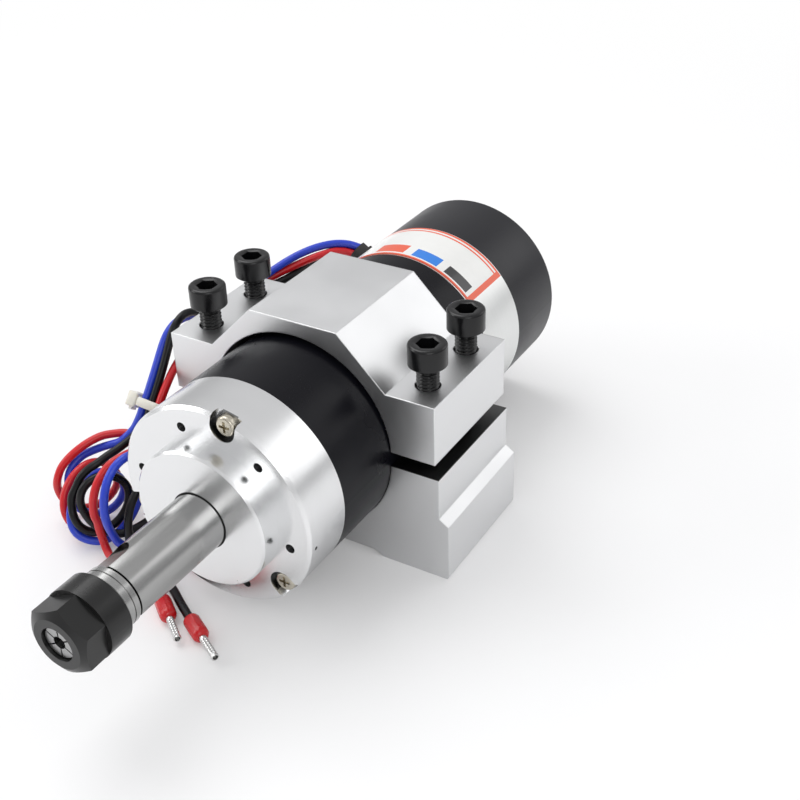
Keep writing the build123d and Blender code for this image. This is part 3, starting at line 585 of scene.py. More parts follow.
@dataclass(frozen=True)
class GroundShaft(Finish):
    """Ground steel of the shaft, darker on its two wrench flats."""

    flat_colour: Colour
    shaft_radius_mm: float = 7.5
    flat_rear_mm: float = -76.0
    flat_front_mm: float = -90.6
    flat_margin_mm: float = 0.05
    ring_scale: float = 5200.0
    ring_detail: float = 5.0
    ring_strength: float = 0.25
    streak_stretch: Point = (1.0, 0.12, 1.0)
    streak_scale: float = 900.0
    streak_detail: float = 3.0
    dark_share: float = 0.74
    smoothest: float = 0.16
    roughest: float = 0.25
    stretch: float = 0.45
    depth_mm: float = 0.006

    def make(self) -> bpy.types.Material:
        """Builds the material.

        Returns:
            The new material.
        """
        sheet = MaterialSheet(self.name)
        _, y, _ = sheet.axes()
        reach = sheet.reach()
        rings = sheet.line_noise(y, self.ring_scale, self.ring_detail)
        stretched = sheet.stretched(self.streak_stretch)
        streaks = sheet.noise(stretched, self.streak_scale, self.streak_detail)
        tone = sheet.sums("MULTIPLY", sheet.sums("ADD", rings, streaks), 0.5)
        steel = sheet.blend(tone, self.toned(self.dark_share), self.colour)
        low = sheet.sums("LESS_THAN", reach, (self.shaft_radius_mm - self.flat_margin_mm) * MM)
        flat = sheet.sums("MULTIPLY", low, sheet.window(y, self.flat_front_mm * MM, self.flat_rear_mm * MM))
        sheet.set("Base Color", sheet.blend(flat, steel, self.flat_colour))
        sheet.set("Roughness", sheet.spread(tone, self.smoothest, self.roughest))
        sheet.brushed(self.stretch)
        sheet.relief(rings, self.ring_strength, self.depth_mm)
        return sheet.material


@dataclass(frozen=True)
class CloudedFinish(Finish):
    """A surface that changes softly between two close tones and has a fine grain."""

    roughness: float = 0.38
    smoother: float = 0.05
    rougher: float = 0.08
    low_share: float = 1.0
    high_share: float = 1.0
    metallic: float = 0.0
    shine: float = 0.5
    coat: float = 0.0
    cloud_scale: float = 180.0
    cloud_detail: float = 3.0
    grain_scale: float = 1500.0
    grain_detail: float = 3.0
    grain_strength: float = 0.25
    depth_mm: float = 0.02
    glow_depth_mm: float = 0.0
    glow_weight: float = 0.6
    glow_spread: Colour = (1.0, 0.9, 0.75)

    def make(self) -> bpy.types.Material:
        """Builds the material.

        Returns:
            The new material.
        """
        sheet = MaterialSheet(self.name)
        grain = sheet.noise(sheet.place(), self.grain_scale, self.grain_detail)
        cloud = sheet.noise(sheet.place(), self.cloud_scale, self.cloud_detail)
        tone = sheet.blend(cloud, self.toned(self.low_share), self.toned(self.high_share))
        sheet.set("Base Color", tone)
        sheet.set("Metallic", self.metallic)
        sheet.set("Specular IOR Level", self.shine)
        low = self.roughness - self.smoother
        sheet.set("Roughness", sheet.spread(cloud, low, self.roughness + self.rougher))
        sheet.set("Coat Weight", self.coat)
        if self.glow_depth_mm:
            sheet.set("Subsurface Weight", self.glow_weight)
            sheet.set("Subsurface Radius", self.glow_spread)
            sheet.set("Subsurface Scale", self.glow_depth_mm * MM)
        sheet.relief(grain, self.grain_strength, self.depth_mm)
        return sheet.material


@dataclass(frozen=True)
class DarkCoating(CloudedFinish):
    """Black anodising or black oxide: satin, slightly uneven, with fine grain."""

    rougher: float = 0.07
    high_share: float = 1.35
    shine: float = 0.3
    cloud_scale: float = 55.0
    cloud_detail: float = 4.0
    grain_scale: float = 3200.0
    grain_detail: float = 2.0
    grain_strength: float = 0.3
    depth_mm: float = 0.010


@dataclass(frozen=True)
class PlatedMetal(CloudedFinish):
    """Smooth plated or polished metal with slight clouding."""

    roughness: float = 0.22
    smoother: float = 0.04
    rougher: float = 0.10
    low_share: float = 0.78
    metallic: float = 1.0
    cloud_scale: float = 900.0
    cloud_detail: float = 4.0
    grain_scale: float = 900.0
    grain_detail: float = 4.0
    grain_strength: float = 0.2
    depth_mm: float = 0.010


@dataclass(frozen=True)
class SoftPlastic(CloudedFinish):
    """Rubber, silicone or moulded plastic with a fine skin."""

    low_share: float = 0.82


@dataclass(frozen=True)
class LaminatedIron(Finish):
    """Stacked core plates: thin dark lines across the spindle axis."""

    plate_mm: float = 0.5
    gap_share: float = 0.16
    dark_share: float = 0.35
    metallic: float = 0.8
    roughness: float = 0.45
    gap_strength: float = 0.6
    gap_depth_mm: float = 0.05

    def make(self) -> bpy.types.Material:
        """Builds the material.

        Returns:
            The new material.
        """
        sheet = MaterialSheet(self.name)
        _, y, _ = sheet.axes()
        step = sheet.sums("FRACT", sheet.sums("DIVIDE", y, self.plate_mm * MM))
        gap = sheet.sums("LESS_THAN", step, self.gap_share)
        sheet.set("Base Color", sheet.blend(gap, self.colour, self.toned(self.dark_share)))
        sheet.set("Metallic", self.metallic)
        sheet.set("Roughness", self.roughness)
        sheet.relief(sheet.sums("SUBTRACT", 1.0, gap), self.gap_strength, self.gap_depth_mm)
        return sheet.material


@dataclass(frozen=True)
class WoundWire(Finish):
    """Enamelled wire laid side by side round the stator teeth, with painted shade: each turn is lighter on
    its crown and darker down its sides into the creases between turns.
    """

    wire_mm: float = 0.55
    dark_share: float = 0.45
    metallic: float = 0.75
    roughness: float = 0.3
    hump_strength: float = 0.9
    hump_mm: float = 0.15

    def make(self) -> bpy.types.Material:
        """Builds the material.

        Returns:
            The new material.
        """
        sheet = MaterialSheet(self.name)
        wave = sheet.sums("FRACT", sheet.sums("DIVIDE", sheet.reach(), self.wire_mm * MM))
        hump = sheet.sums("SINE", sheet.sums("MULTIPLY", wave, math.pi))
        # Painted shade: the colour darkens from each wire's crown into the creases between turns.
        sheet.set("Base Color", sheet.blend(hump, self.toned(self.dark_share), self.colour))
        sheet.set("Metallic", self.metallic)
        sheet.set("Roughness", self.roughness)
        sheet.relief(hump, self.hump_strength, self.hump_mm)
        return sheet.material


@dataclass(frozen=True)
class Patch:
    """A field of colour on the label, in shares of its length and width; it may run past the edge."""

    colour: Colour
    start: float = -1.0
    end: float = 2.0
    front: float = -1.0
    rear: float = 2.0


@dataclass(frozen=True)
class LabelFilm(Finish):
    """White film with an orange border and three plain colour blocks near its front edge."""

    start_turn: float = -46.5
    end_turn: float = 50.5
    front_mm: float = 35.5
    rear_mm: float = 54.7
    clouded: Colour = (0.80, 0.80, 0.78)
    orange: Colour = (0.80, 0.10, 0.035)
    blue: Colour = (0.010, 0.20, 0.72)
    black: Colour = (0.02, 0.02, 0.022)
    cloud_scale: float = 300.0
    roughness: float = 0.32
    coat: float = 0.35
    skin_scale: float = 700.0
    skin_strength: float = 0.12
    skin_depth_mm: float = 0.02

    def patches(self) -> tuple[Patch, ...]:
        """Lists the colours on the film.

        Returns:
            The orange lines along its edges, then the three blocks.
        """
        return (
            Patch(self.orange, rear=0.035),
            Patch(self.orange, front=0.955),
            Patch(self.orange, front=0.880, rear=0.915),
            Patch(self.orange, start=0.962),
            Patch(self.orange, end=0.02),
            Patch(self.orange, start=0.262, end=0.462, front=0.075, rear=0.335),
            Patch(self.blue, start=0.520, end=0.698, front=0.065, rear=0.300),
            Patch(self.black, start=0.752, end=0.935, front=0.065, rear=0.275),
        )

    def make(self) -> bpy.types.Material:
        """Builds the material.

        Returns:
            The new material.
        """
        sheet = MaterialSheet(self.name)
        x, y, z = sheet.axes()
        turn = sheet.sums("DEGREES", sheet.sums("ARCTAN2", x, z))
        length = self.end_turn - self.start_turn
        along = sheet.sums("DIVIDE", sheet.sums("SUBTRACT", turn, self.start_turn), length)
        width = (self.rear_mm - self.front_mm) * MM
        across = sheet.sums("DIVIDE", sheet.sums("SUBTRACT", y, self.front_mm * MM), width)
        tone = sheet.blend(sheet.noise(sheet.place(), self.cloud_scale), self.colour, self.clouded)
        for patch in self.patches():
            inside = sheet.sums(
                "MULTIPLY",
                sheet.window(along, patch.start, patch.end),
                sheet.window(across, patch.front, patch.rear),
            )
            tone = sheet.blend(inside, tone, patch.colour)
        sheet.set("Base Color", tone)
        sheet.set("Roughness", self.roughness)
        sheet.set("Coat Weight", self.coat)
        skin = sheet.noise(sheet.place(), self.skin_scale)
        sheet.relief(skin, self.skin_strength, self.skin_depth_mm)
        return sheet.material


MILLED = MilledMetal("milled_aluminium", (0.80, 0.805, 0.81))
TURNED = TurnedMetal("turned_aluminium", (0.84, 0.845, 0.85), roughness=0.23, pocket_reach_mm=24.6)
RING = TurnedMetal("ring_aluminium", (0.80, 0.81, 0.80), roughness=0.34, stretch=0.35)
SHAFT = GroundShaft("ground_steel_shaft", (0.44, 0.44, 0.435), (0.040, 0.036, 0.034))
TUBE = DarkCoating("black_anodised_tube", (0.004, 0.004, 0.006), roughness=0.28, shine=0.15)
COVER = DarkCoating("black_anodised_cover", (0.009, 0.009, 0.012), roughness=0.34, shine=0.32)
OXIDE = DarkCoating("black_oxide_screw", (0.004, 0.004, 0.0045), roughness=0.24, shine=0.40)
NUT_OXIDE = DarkCoating("black_oxide_nut", (0.008, 0.008, 0.008), roughness=0.30, shine=0.42, depth_mm=0.016)
NICKEL = PlatedMetal("nickel_plate", (0.60, 0.56, 0.47), roughness=0.22)
COLLET_STEEL = PlatedMetal("collet_steel", (0.42, 0.42, 0.42), roughness=0.30)
BEARING = PlatedMetal("bearing_steel", (0.62, 0.63, 0.64))
BALL = PlatedMetal("ball_steel", (0.82, 0.82, 0.83), roughness=0.10, cloud_scale=300.0, grain_scale=300.0)
BRASS = PlatedMetal("cage_brass", (0.70, 0.52, 0.24), roughness=0.30)
MAGNET = PlatedMetal("magnet_nickel", (0.66, 0.66, 0.64), roughness=0.30)
TINNED = PlatedMetal(
    "tinned_pin", (0.78, 0.78, 0.77), roughness=0.24, cloud_scale=1800.0, grain_scale=1800.0
)
IRON = LaminatedIron("core_plates", (0.34, 0.34, 0.36))
WIRE = WoundWire("winding_wire", (0.62, 0.24, 0.09))
LABEL = LabelFilm("label_film", (0.86, 0.86, 0.84))
RUBBER = SoftPlastic("gland_rubber", (0.022, 0.022, 0.022), roughness=0.55)
SEAL = SoftPlastic("seal_rubber", (0.008, 0.008, 0.008), roughness=0.6)
NYLON = SoftPlastic("tie_nylon", (0.80, 0.78, 0.70), roughness=0.34, glow_depth_mm=1.2)
SLEEVE = SoftPlastic("sleeve_plastic", (0.62, 0.008, 0.012), roughness=0.26, coat=0.1)
LEAD_FINISH = {
    LeadColour.RED: SoftPlastic("red_silicone", (0.66, 0.008, 0.014), roughness=0.30),
    LeadColour.BLUE: SoftPlastic("blue_silicone", (0.018, 0.055, 0.60), roughness=0.30),
    LeadColour.BLACK: SoftPlastic("black_silicone", (0.004, 0.004, 0.005), roughness=0.30, shine=0.3),
}


class FinishBook:
    """Makes each finish once and hands it out."""

    def __init__(self) -> None:
        """Starts with no materials."""
        self.made: dict[str, bpy.types.Material] = {}

    def get(self, finish: Finish) -> bpy.types.Material:
        """Gives a finish's material.

        Args:
            finish: One of the finishes above.

        Returns:
            Its material, made on first use.
        """
        if finish.name not in self.made:
            self.made[finish.name] = finish.make()
        return self.made[finish.name]


BOOK = FinishBook()


def coat_nodes(finish: Finish, nodes: Iterable[str]) -> None:
    """Gives CAD nodes a finish.

    Args:
        finish: One of the finishes above.
        nodes: Names of the nodes.
    """
    for name in nodes:
        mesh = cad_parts[name].data
        mesh.materials.clear()
        mesh.materials.append(BOOK.get(finish))
    log.info("%s on %s", finish.name, ", ".join(nodes))


# Mesh helpers


def add_piece(name: str, mesh: bpy.types.Mesh, finish: Finish) -> bpy.types.Object:
    """Puts a mesh in the scene as a piece.

    Args:
        name: Name of the piece.
        mesh: Its mesh, in place.
        finish: Its finish.

    Returns:
        The new object.
    """
    mesh.materials.append(BOOK.get(finish))
    return put(name, mesh)


def lathe(name: str, rows: Sequence[Row], count: int, where: Matrix, hole: bool = False) -> bpy.types.Mesh:
    """A closed turned form about its own z.

    Args:
        name: Name of the mesh.
        rows: Height and radius of each ring in millimetres; a radius may be a function of the angle.
        count: Points in each ring.
        where: Matrix from the form's millimetres to its place in metres.
        hole: True for a ring that closes on its first row, False for ends closed by flat faces.

    Returns:
        The mesh.
    """
    work = bmesh.new()
    rings = []
    for height, radius in rows:
        ring = []
        for step in range(count):
            angle = 2 * math.pi * step / count
            size = radius(angle) if callable(radius) else radius
            spot = Vector((size * math.cos(angle), size * math.sin(angle), height))
            ring.append(work.verts.new(where @ spot))
        rings.append(ring)
    pairs = list(zip(rings, rings[1:])) + ([(rings[-1], rings[0])] if hole else [])
    for lower, upper in pairs:
        for step in range(count):
            after = (step + 1) % count
            work.faces.new((lower[step], lower[after], upper[after], upper[step]))
    if not hole:
        work.faces.new(list(reversed(rings[0])))
        work.faces.new(rings[-1])
    return finished_mesh(work, name, limit=32.0)


def finished_mesh(work: bmesh.types.BMesh, name: str, limit: float) -> bpy.types.Mesh:
    """Turns worked faces into a shaded mesh and frees them.

    Args:
        work: The faces.
        name: Name of the mesh.
        limit: Angle in degrees from which an edge stays sharp.

    Returns:
        The mesh.
    """
    bmesh.ops.recalc_face_normals(work, faces=work.faces)
    mesh = bpy.data.meshes.new(name)
    work.to_mesh(mesh)
    work.free()
    shade_by_angle(mesh, limit)
    return mesh


def shade_by_angle(mesh: bpy.types.Mesh, limit: float) -> None:
    """Shades a mesh smoothly but keeps its sharper edges.

    Args:
        mesh: The mesh.
        limit: Angle in degrees from which an edge stays sharp.
    """
    for face in mesh.polygons:
        face.use_smooth = True
    work = bmesh.new()
    work.from_mesh(mesh)
    for edge in work.edges:
        edge.smooth = len(edge.link_faces) == 2 and edge.calc_face_angle() < math.radians(limit)
    work.to_mesh(mesh)
    work.free()


def standing(x: float, y: float, z: float) -> Matrix:
    """Place of an upright form, from millimetres."""
    return Matrix.Scale(MM, 4) @ Matrix.Translation((x, y, z))


def lying(y: float) -> Matrix:
    """Place of a form whose z runs along +Y on the spindle axis, from millimetres."""
    turn = Matrix.Rotation(math.radians(-90), 4, "X")
    return Matrix.Scale(MM, 4) @ Matrix.Translation((0.0, y, AXIS_HEIGHT)) @ turn


def pointing(place: Vector, out: Vector) -> Matrix:
    """Place of a form whose z runs along a direction, from millimetres."""
    turn = out.to_track_quat("Z", "Y").to_matrix().to_4x4()
    return Matrix.Scale(MM, 4) @ Matrix.Translation(place) @ turn


# The camera and the studio


@dataclass(frozen=True)
class Lamp:
    """A square soft lamp, in metres and watts."""

    name: str
    place: Point
    size: float
    power: float
    aim: Point

    def hang(self) -> None:
        """Puts the lamp in the scene, turned to its aim."""
        data = bpy.data.lights.new(self.name, "AREA")
        data.shape = "SQUARE"
        data.size = self.size
        data.energy = self.power
        lamp = put(self.name, data)
        lamp.location = self.place
        towards = Vector(self.aim) - Vector(self.place)
        lamp.rotation_euler = towards.to_track_quat("-Z", "Y").to_euler()


LAMPS = (
    Lamp("key_softbox", (-0.60, 0.15, 1.15), 0.90, 7.0, (0.0, 0.0, 0.02)),
    Lamp("rear_softbox", (0.80, 1.10, 0.72), 0.90, 2.4, (0.0, 0.0, 0.03)),
    Lamp("front_fill", (0.85, -0.90, 0.75), 0.70, 3.2, (0.0, -0.02, 0.02)),
    Lamp("left_strip", (-0.95, -0.55, 0.55), 0.50, 2.6, (0.0, -0.03, 0.02)),
)


@dataclass
class Studio:
    """Camera at the photograph's angle, pale floor, soft light."""

    lens_mm: float = 54.1935
    sensor_mm: float = 36.0
    eye: Point = (0.158464, -0.228720, 0.207221)
    turn_deg: Point = (57.52548, 1.58571, 30.42205)
    shift: tuple[float, float] = (0.0020875, 0.001675)
    floor_half_m: float = 3.0
    floor_colour: Colour = (0.90, 0.90, 0.905)
    floor_clouded: Colour = (0.92, 0.92, 0.92)
    floor_cloud_scale: float = 6.0
    floor_roughness: float = 0.55
    floor_shine: float = 0.25
    shade_fade_start_m: float = 0.10
    shade_fade_end_m: float = 0.60
    painted_shade_glow: float = 0.18
    white: Colour = (1.0, 1.0, 1.0)
    sky_low: Colour = (0.55, 0.55, 0.555)
    sky_middle: Colour = (0.60, 0.60, 0.61)
    sky_high: Colour = (0.95, 0.95, 0.96)
    sky_middle_at: float = 0.22
    sky_start: float = -0.2
    sky_strength: float = 0.80

    def set_camera(self) -> None:
        """Creates the camera."""
        data = bpy.data.cameras.new("photo_camera")
        data.lens = self.lens_mm
        data.sensor_width = self.sensor_mm
        data.shift_x, data.shift_y = self.shift
        data.clip_start = 0.01
        camera = put("photo_camera", data)
        camera.location = self.eye
        camera.rotation_euler = Euler([math.radians(part) for part in self.turn_deg], "XYZ")
        bpy.context.scene.camera = camera

    def lay_floor(self) -> None:
        """Adds the pale floor, which keeps the object's shadow, has painted shade round the object where its
        white glow is weak, and turns white further away.
        """
        half = self.floor_half_m
        mesh = bpy.data.meshes.new("floor")
        corners = [(-half, -half, 0.0), (half, -half, 0.0), (half, half, 0.0), (-half, half, 0.0)]
        mesh.from_pydata(corners, [], [(0, 1, 2, 3)])
        floor = put("floor", mesh)
        sheet = MaterialSheet("pale_floor")
        cloud = sheet.noise(sheet.place(), self.floor_cloud_scale)
        sheet.set("Base Color", sheet.blend(cloud, self.floor_colour, self.floor_clouded))
        sheet.set("Roughness", self.floor_roughness)
        sheet.set("Specular IOR Level", self.floor_shine)
        # Painted shade: the white glow that the camera sees is weakest near the origin and full further out,
        # so the floor is darker round the object.
        reach = sheet.add("ShaderNodeVectorMath", {0: sheet.place()}, operation="LENGTH")
        shade_fade = sheet.add(
            "ShaderNodeMapRange",
            {
                "Value": reach.outputs["Value"],
                "From Min": self.shade_fade_start_m,
                "From Max": self.shade_fade_end_m,
                "To Min": self.painted_shade_glow,
                "To Max": 1.0,
            },
            interpolation_type="SMOOTHSTEP",
        )
        rays = sheet.add("ShaderNodeLightPath")
        share = sheet.sums("MULTIPLY", rays.outputs["Is Camera Ray"], shade_fade.outputs["Result"])
        glow = sheet.add("ShaderNodeEmission", {"Color": (*self.white, 1.0)})
        mix = sheet.add("ShaderNodeMixShader", {0: share, 1: sheet.shader.outputs[0], 2: glow.outputs[0]})
        sheet.feed(mix.outputs[0], sheet.output.inputs["Surface"])
        mesh.materials.append(sheet.material)

    def light(self) -> None:
        """Adds the lamps and a world that lights in soft greys and looks white."""
        for lamp in LAMPS:
            lamp.hang()
        world = bpy.data.worlds.new("studio_world")
        bpy.context.scene.world = world
        world.use_nodes = True
        world.node_tree.nodes.clear()
        sheet = NodeSheet(world.node_tree)
        coords = sheet.add("ShaderNodeTexCoord")
        parts = sheet.add("ShaderNodeSeparateXYZ", {0: coords.outputs["Generated"]})
        limits = {"From Min": self.sky_start, "From Max": 1.0}
        rise = sheet.add("ShaderNodeMapRange", {"Value": parts.outputs["Z"], **limits})
        ramp = sheet.add("ShaderNodeValToRGB", {0: rise.outputs["Result"]})
        stops = ramp.color_ramp.elements
        stops[0].color = (*self.sky_low, 1.0)
        stops[1].color = (*self.sky_high, 1.0)
        stops.new(self.sky_middle_at).color = (*self.sky_middle, 1.0)
        tone = {"Color": ramp.outputs["Color"], "Strength": self.sky_strength}
        sky = sheet.add("ShaderNodeBackground", tone)
        white = sheet.add("ShaderNodeBackground", {"Color": (*self.white, 1.0)})
        seen = sheet.add("ShaderNodeLightPath").outputs["Is Camera Ray"]
        mix = sheet.add("ShaderNodeMixShader", {0: seen, 1: sky.outputs[0], 2: white.outputs[0]})
        sheet.add("ShaderNodeOutputWorld", {"Surface": mix.outputs[0]})

    def build(self) -> None:
        """Sets up the view and the stage."""
        self.set_camera()
        self.lay_floor()
        self.light()
        scene = bpy.context.scene
        scene.view_settings.view_transform = "Standard"
        log.info("camera, floor and light are in place")


# Leads, tie and crimped ends


@dataclass(frozen=True)
class Hank:
    """The loose turns of the leads beside the nose."""

    centre: tuple[float, float] = (-51.0, -46.5)
    turn_deg: float = -27.0
    point_gap_mm: float = 3.1
    quarter_share: float = 1.11
    along_share: float = 0.8

    def spot(self, along: float, across: float, height: float) -> Point:
        """Moves a place from the hank's own directions to the frame.

        Args:
            along: Distance along the hank.
            across: Distance across it.
            height: Height above the floor.

        Returns:
            The place in the frame's millimetres.
        """
        angle = math.radians(self.turn_deg)
        x = self.centre[0] + along * math.cos(angle) - across * math.sin(angle)
        y = self.centre[1] + along * math.sin(angle) + across * math.cos(angle)
        return x, y, height

    def quarter(self, start: Point, end: Point, from_side: bool) -> list[Point]:
        """Points of a quarter of an ellipse.

        Args:
            start: Extreme that it leaves, as along, across, height.
            end: Extreme that it runs to.
            from_side: True if it leaves a side, False if it leaves a top or bottom.

        Returns:
            Its points, without the end.
        """
        drift = (end[0] - start[0]) * self.along_share
        length = self.quarter_share * math.hypot(end[1] - start[1], end[2] - start[2], drift)
        steps = max(3, round(length / self.point_gap_mm))
        points = []
        for step in range(steps):
            share = step / steps
            rise = math.sin(share * math.pi / 2)
            fall = math.cos(share * math.pi / 2)
            if from_side:
                across = end[1] + (start[1] - end[1]) * fall
                height = start[2] + (end[2] - start[2]) * rise
            else:
                across = start[1] + (end[1] - start[1]) * rise
                height = end[2] + (start[2] - end[2]) * fall
            points.append(self.spot(start[0] + (end[0] - start[0]) * share, across, height))
        return points

    def turns(self, extremes: Sequence[Point]) -> list[Point]:
        """Points of a lead's turns.

        Args:
            extremes: Far side, bottom, near side and top in order, as along, across, height.

        Returns:
            The points in the frame's millimetres.
        """
        points: list[Point] = []
        for place, (start, end) in enumerate(zip(extremes, extremes[1:])):
            points += self.quarter(start, end, place % 2 == 0)
        points.append(self.spot(*extremes[-1]))
        return points


# Roundings of a crimped end: distance from that end and how much less than the full radius
SLEEVE_MOUTH = ((0.0, 0.95), (0.12, 0.60), (0.55, 0.18))
SLEEVE_NOSE = ((1.00, 0.10), (0.45, 0.40), (0.12, 0.78), (0.0, 1.05))
PIN_TIP = ((0.5, 0.0), (0.12, 0.03), (0.0, 0.16), (0.05, 0.30), (2.2, 0.36))


@dataclass
class Lead:
    """One lead from the grommet to its crimped end."""

    colour: LeadColour
    route: Sequence[Point]
    length_m: float
    diameter_mm: float = 2.3
    sleeve_radius_mm: float = 2.2
    sleeve_length_mm: float = 8.0
    pin_radius_mm: float = 1.0
    rib_count: int = 6
    rib_mm: float = 0.09
    rib_start_mm: float = 1.20
    rib_end_mm: float = 1.60
    pin_length_mm: float = 8.0
    press_count: int = 7
    press_start_mm: float = 0.9
    press_gap_mm: float = 0.85
    press_width_mm: float = 0.28
    press_depth_mm: float = 0.34
    press_rim_mm: float = 0.04

    def end_place(self) -> tuple[Vector, Vector]:
        """Where the lead ends and the direction it ends in."""
        last = Vector(self.route[-1])
        return last, (last - Vector(self.route[-2])).normalized()

    def run(self) -> bpy.types.Object:
        """Makes the lead itself, a round cord on a NURBS spline.

        Returns:
            Its piece.
        """
        name = f"{self.colour.value}_lead"
        curve = bpy.data.curves.new(name, "CURVE")
        curve.dimensions = "3D"
        curve.bevel_depth = self.diameter_mm / 2 * MM
        curve.bevel_resolution = 4
        curve.resolution_u = 6
        curve.use_fill_caps = True
        spline = curve.splines.new("NURBS")
        spline.points.add(len(self.route) - 1)
        for point, place in zip(spline.points, self.route):
            point.co = (place[0] * MM, place[1] * MM, place[2] * MM, 1.0)
        spline.order_u = 3
        spline.use_endpoint_u = True
        curve.materials.append(BOOK.get(LEAD_FINISH[self.colour]))
        return put(name, curve)

    def sleeve(self) -> bpy.types.Object:
        """Makes the plastic barrel of the crimped end, with shallow ribs and rounded ends.

        Returns:
            Its piece.
        """
        place, out = self.end_place()
        full = self.sleeve_radius_mm
        length = self.sleeve_length_mm

        def ribbed(angle: float) -> float:
            """The barrel's radius, a little less between its ribs."""
            return full - self.rib_mm * abs(math.sin(self.rib_count * angle))

        rows: list[Row] = [(at, full - less) for at, less in SLEEVE_MOUTH]
        rows += [(self.rib_start_mm, ribbed), (length - self.rib_end_mm, ribbed)]
        rows += [(length - at, full - less) for at, less in SLEEVE_NOSE]
        mesh = lathe(f"{self.colour.value}_sleeve", rows, count=72, where=pointing(place, out))
        return add_piece(f"{self.colour.value}_sleeve", mesh, SLEEVE)

    def pin(self) -> bpy.types.Object:
        """Makes the tinned tube of the crimped end, pressed along its middle and open at its tip.

        Returns:
            Its piece.
        """
        place, out = self.end_place()
        full = self.pin_radius_mm
        start = self.sleeve_length_mm
        end = start + self.pin_length_mm

        def pressed(depth: float) -> Callable[[float], float]:
            """A ring pinched on four sides."""
            return lambda angle: full - depth * (0.5 + 0.5 * math.cos(4 * angle))

        rows: list[Row] = [(start - 0.6, full - 0.05), (start + 0.3, full)]
        for step in range(self.press_count):
            at = start + self.press_start_mm + self.press_gap_mm * step
            rows.append((at, pressed(self.press_rim_mm)))
            rows.append((at + self.press_width_mm, pressed(self.press_depth_mm)))
            rows.append((at + 2 * self.press_width_mm, pressed(self.press_depth_mm)))
        rows += [(end - at, full - less) for at, less in PIN_TIP]
        mesh = lathe(f"{self.colour.value}_pin", rows, count=32, where=pointing(place, out))
        return add_piece(f"{self.colour.value}_pin", mesh, TINNED)

    def build(self) -> None:
        cord = self.run()
        sleeve = self.sleeve()
        pin = self.pin()
        for piece in (cord, sleeve, pin):
            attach(piece, Body.HOUSING.value)
        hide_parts(f"lead_{self.colour.value}", f"tail_{self.colour.value}", "lead_hank")
        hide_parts("end_sleeves")
        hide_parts("end_pins")
        log.info("%s lead with %d control points", self.colour.value, len(self.route))


@dataclass
class CableTie:
    """Nylon tie round the three leads where they lie side by side."""

    centre: Point = (-44.35, -26.4, 31.4)
    axis: Point = (-0.05, -0.59, -0.81)
    half_length_mm: float = 3.72
    half_width_mm: float = 1.30
    thickness_mm: float = 1.0
    width_mm: float = 2.5
    arc_steps: int = 16
    head_mm: Point = (3.2, 3.8, 4.2)
    head_round_mm: float = 0.42
    slot_rim_mm: float = 0.45
    slot_depth_mm: float = 0.9
    stub_mm: Point = (0.95, 2.1, 2.6)
    stub_sink_mm: float = 0.5

    def place(self) -> Matrix:
        """Works out where the tie is.

        Returns:
            Matrix from the tie's own millimetres to metres; z runs along the leads.
        """
        z = Vector(self.axis).normalized()
        y = z.cross(Vector((1.0, 0.0, 0.0))).normalized()
        x = y.cross(z)
        turn = Matrix((x, y, z)).transposed().to_4x4()
        return Matrix.Scale(MM, 4) @ Matrix.Translation(self.centre) @ turn

    def strap_path(self) -> list[tuple[Vector, Vector]]:
        """Works out the loop that the strap follows.

        Returns:
            Points of its inner face with their outward directions.
        """
        middle = self.half_length_mm - self.half_width_mm
        path = []
        for side, start in ((1, -90), (-1, 90)):
            for step in range(self.arc_steps + 1):
                angle = math.radians(start + 180 * step / self.arc_steps)
                out = Vector((math.cos(angle), math.sin(angle), 0.0))
                path.append((Vector((side * middle, 0.0, 0.0)) + out * self.half_width_mm, out))
        return path

    def strap(self) -> bpy.types.Object:
        """Makes the loop, with thin rounded edges.

        Returns:
            Its piece.
        """
        half = self.width_mm / 2
        deep = self.thickness_mm
        profile = [
            (0.0, -half + 0.1),
            (0.1, -half),
            (deep - 0.3, -half),
            (deep - 0.05, -half + 0.35),
            (deep, 0.0),
            (deep - 0.05, half - 0.35),
            (deep - 0.3, half),
            (0.1, half),
            (0.0, half - 0.1),
        ]
        work = bmesh.new()
        where = self.place()
        rings = []
        for point, out in self.strap_path():
            spots = [point + out * rise + Vector((0, 0, side)) for rise, side in profile]
            rings.append([work.verts.new(where @ spot) for spot in spots])
        for ring, after in zip(rings, rings[1:] + rings[:1]):
            for step in range(len(profile)):
                other = (step + 1) % len(profile)
                work.faces.new((ring[step], ring[other], after[other], after[step]))
        return add_piece("tie_strap", finished_mesh(work, "tie_strap", limit=40.0), NYLON)

    def head(self) -> bpy.types.Object:
        """Makes the locking head, with the strap's slot and the cut end of the strap.

        Returns:
            Its piece.
        """
        size_x, size_y, size_z = self.head_mm
        stub_x, stub_y, stub_z = self.stub_mm
        middle = -(self.half_length_mm + self.thickness_mm / 2 + size_x / 2)
        top = size_z / 2 - self.stub_sink_mm
        where = self.place()
        work = bmesh.new()
        for vert in bmesh.ops.create_cube(work, size=1.0)["verts"]:
            vert.co = Vector((vert.co.x * size_x + middle, vert.co.y * size_y, vert.co.z * size_z))
        round_off = {"offset": self.head_round_mm, "segments": 3, "profile": 0.5, "affect": "EDGES"}
        bmesh.ops.bevel(work, geom=list(work.edges), **round_off)
        face = max(work.faces, key=lambda item: item.calc_center_median().z)
        bmesh.ops.inset_individual(work, faces=[face], thickness=self.slot_rim_mm)
        bmesh.ops.inset_individual(work, faces=[face], thickness=0.05, depth=-self.slot_depth_mm)
        for vert in bmesh.ops.create_cube(work, size=1.0)["verts"]:
            vert.co = Vector((vert.co.x * stub_x + middle, vert.co.y * stub_y, vert.co.z * stub_z + top))
        for vert in work.verts:
            vert.co = where @ vert.co
        return add_piece("tie_head", finished_mesh(work, "tie_head", limit=50.0), NYLON)

    def build(self) -> None:
        """Makes the tie."""
        for piece in (self.strap(), self.head()):
            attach(piece, Body.HOUSING.value)
            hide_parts("cable_tie")
        log.info("cable tie: strap and head")


# Screws and threads


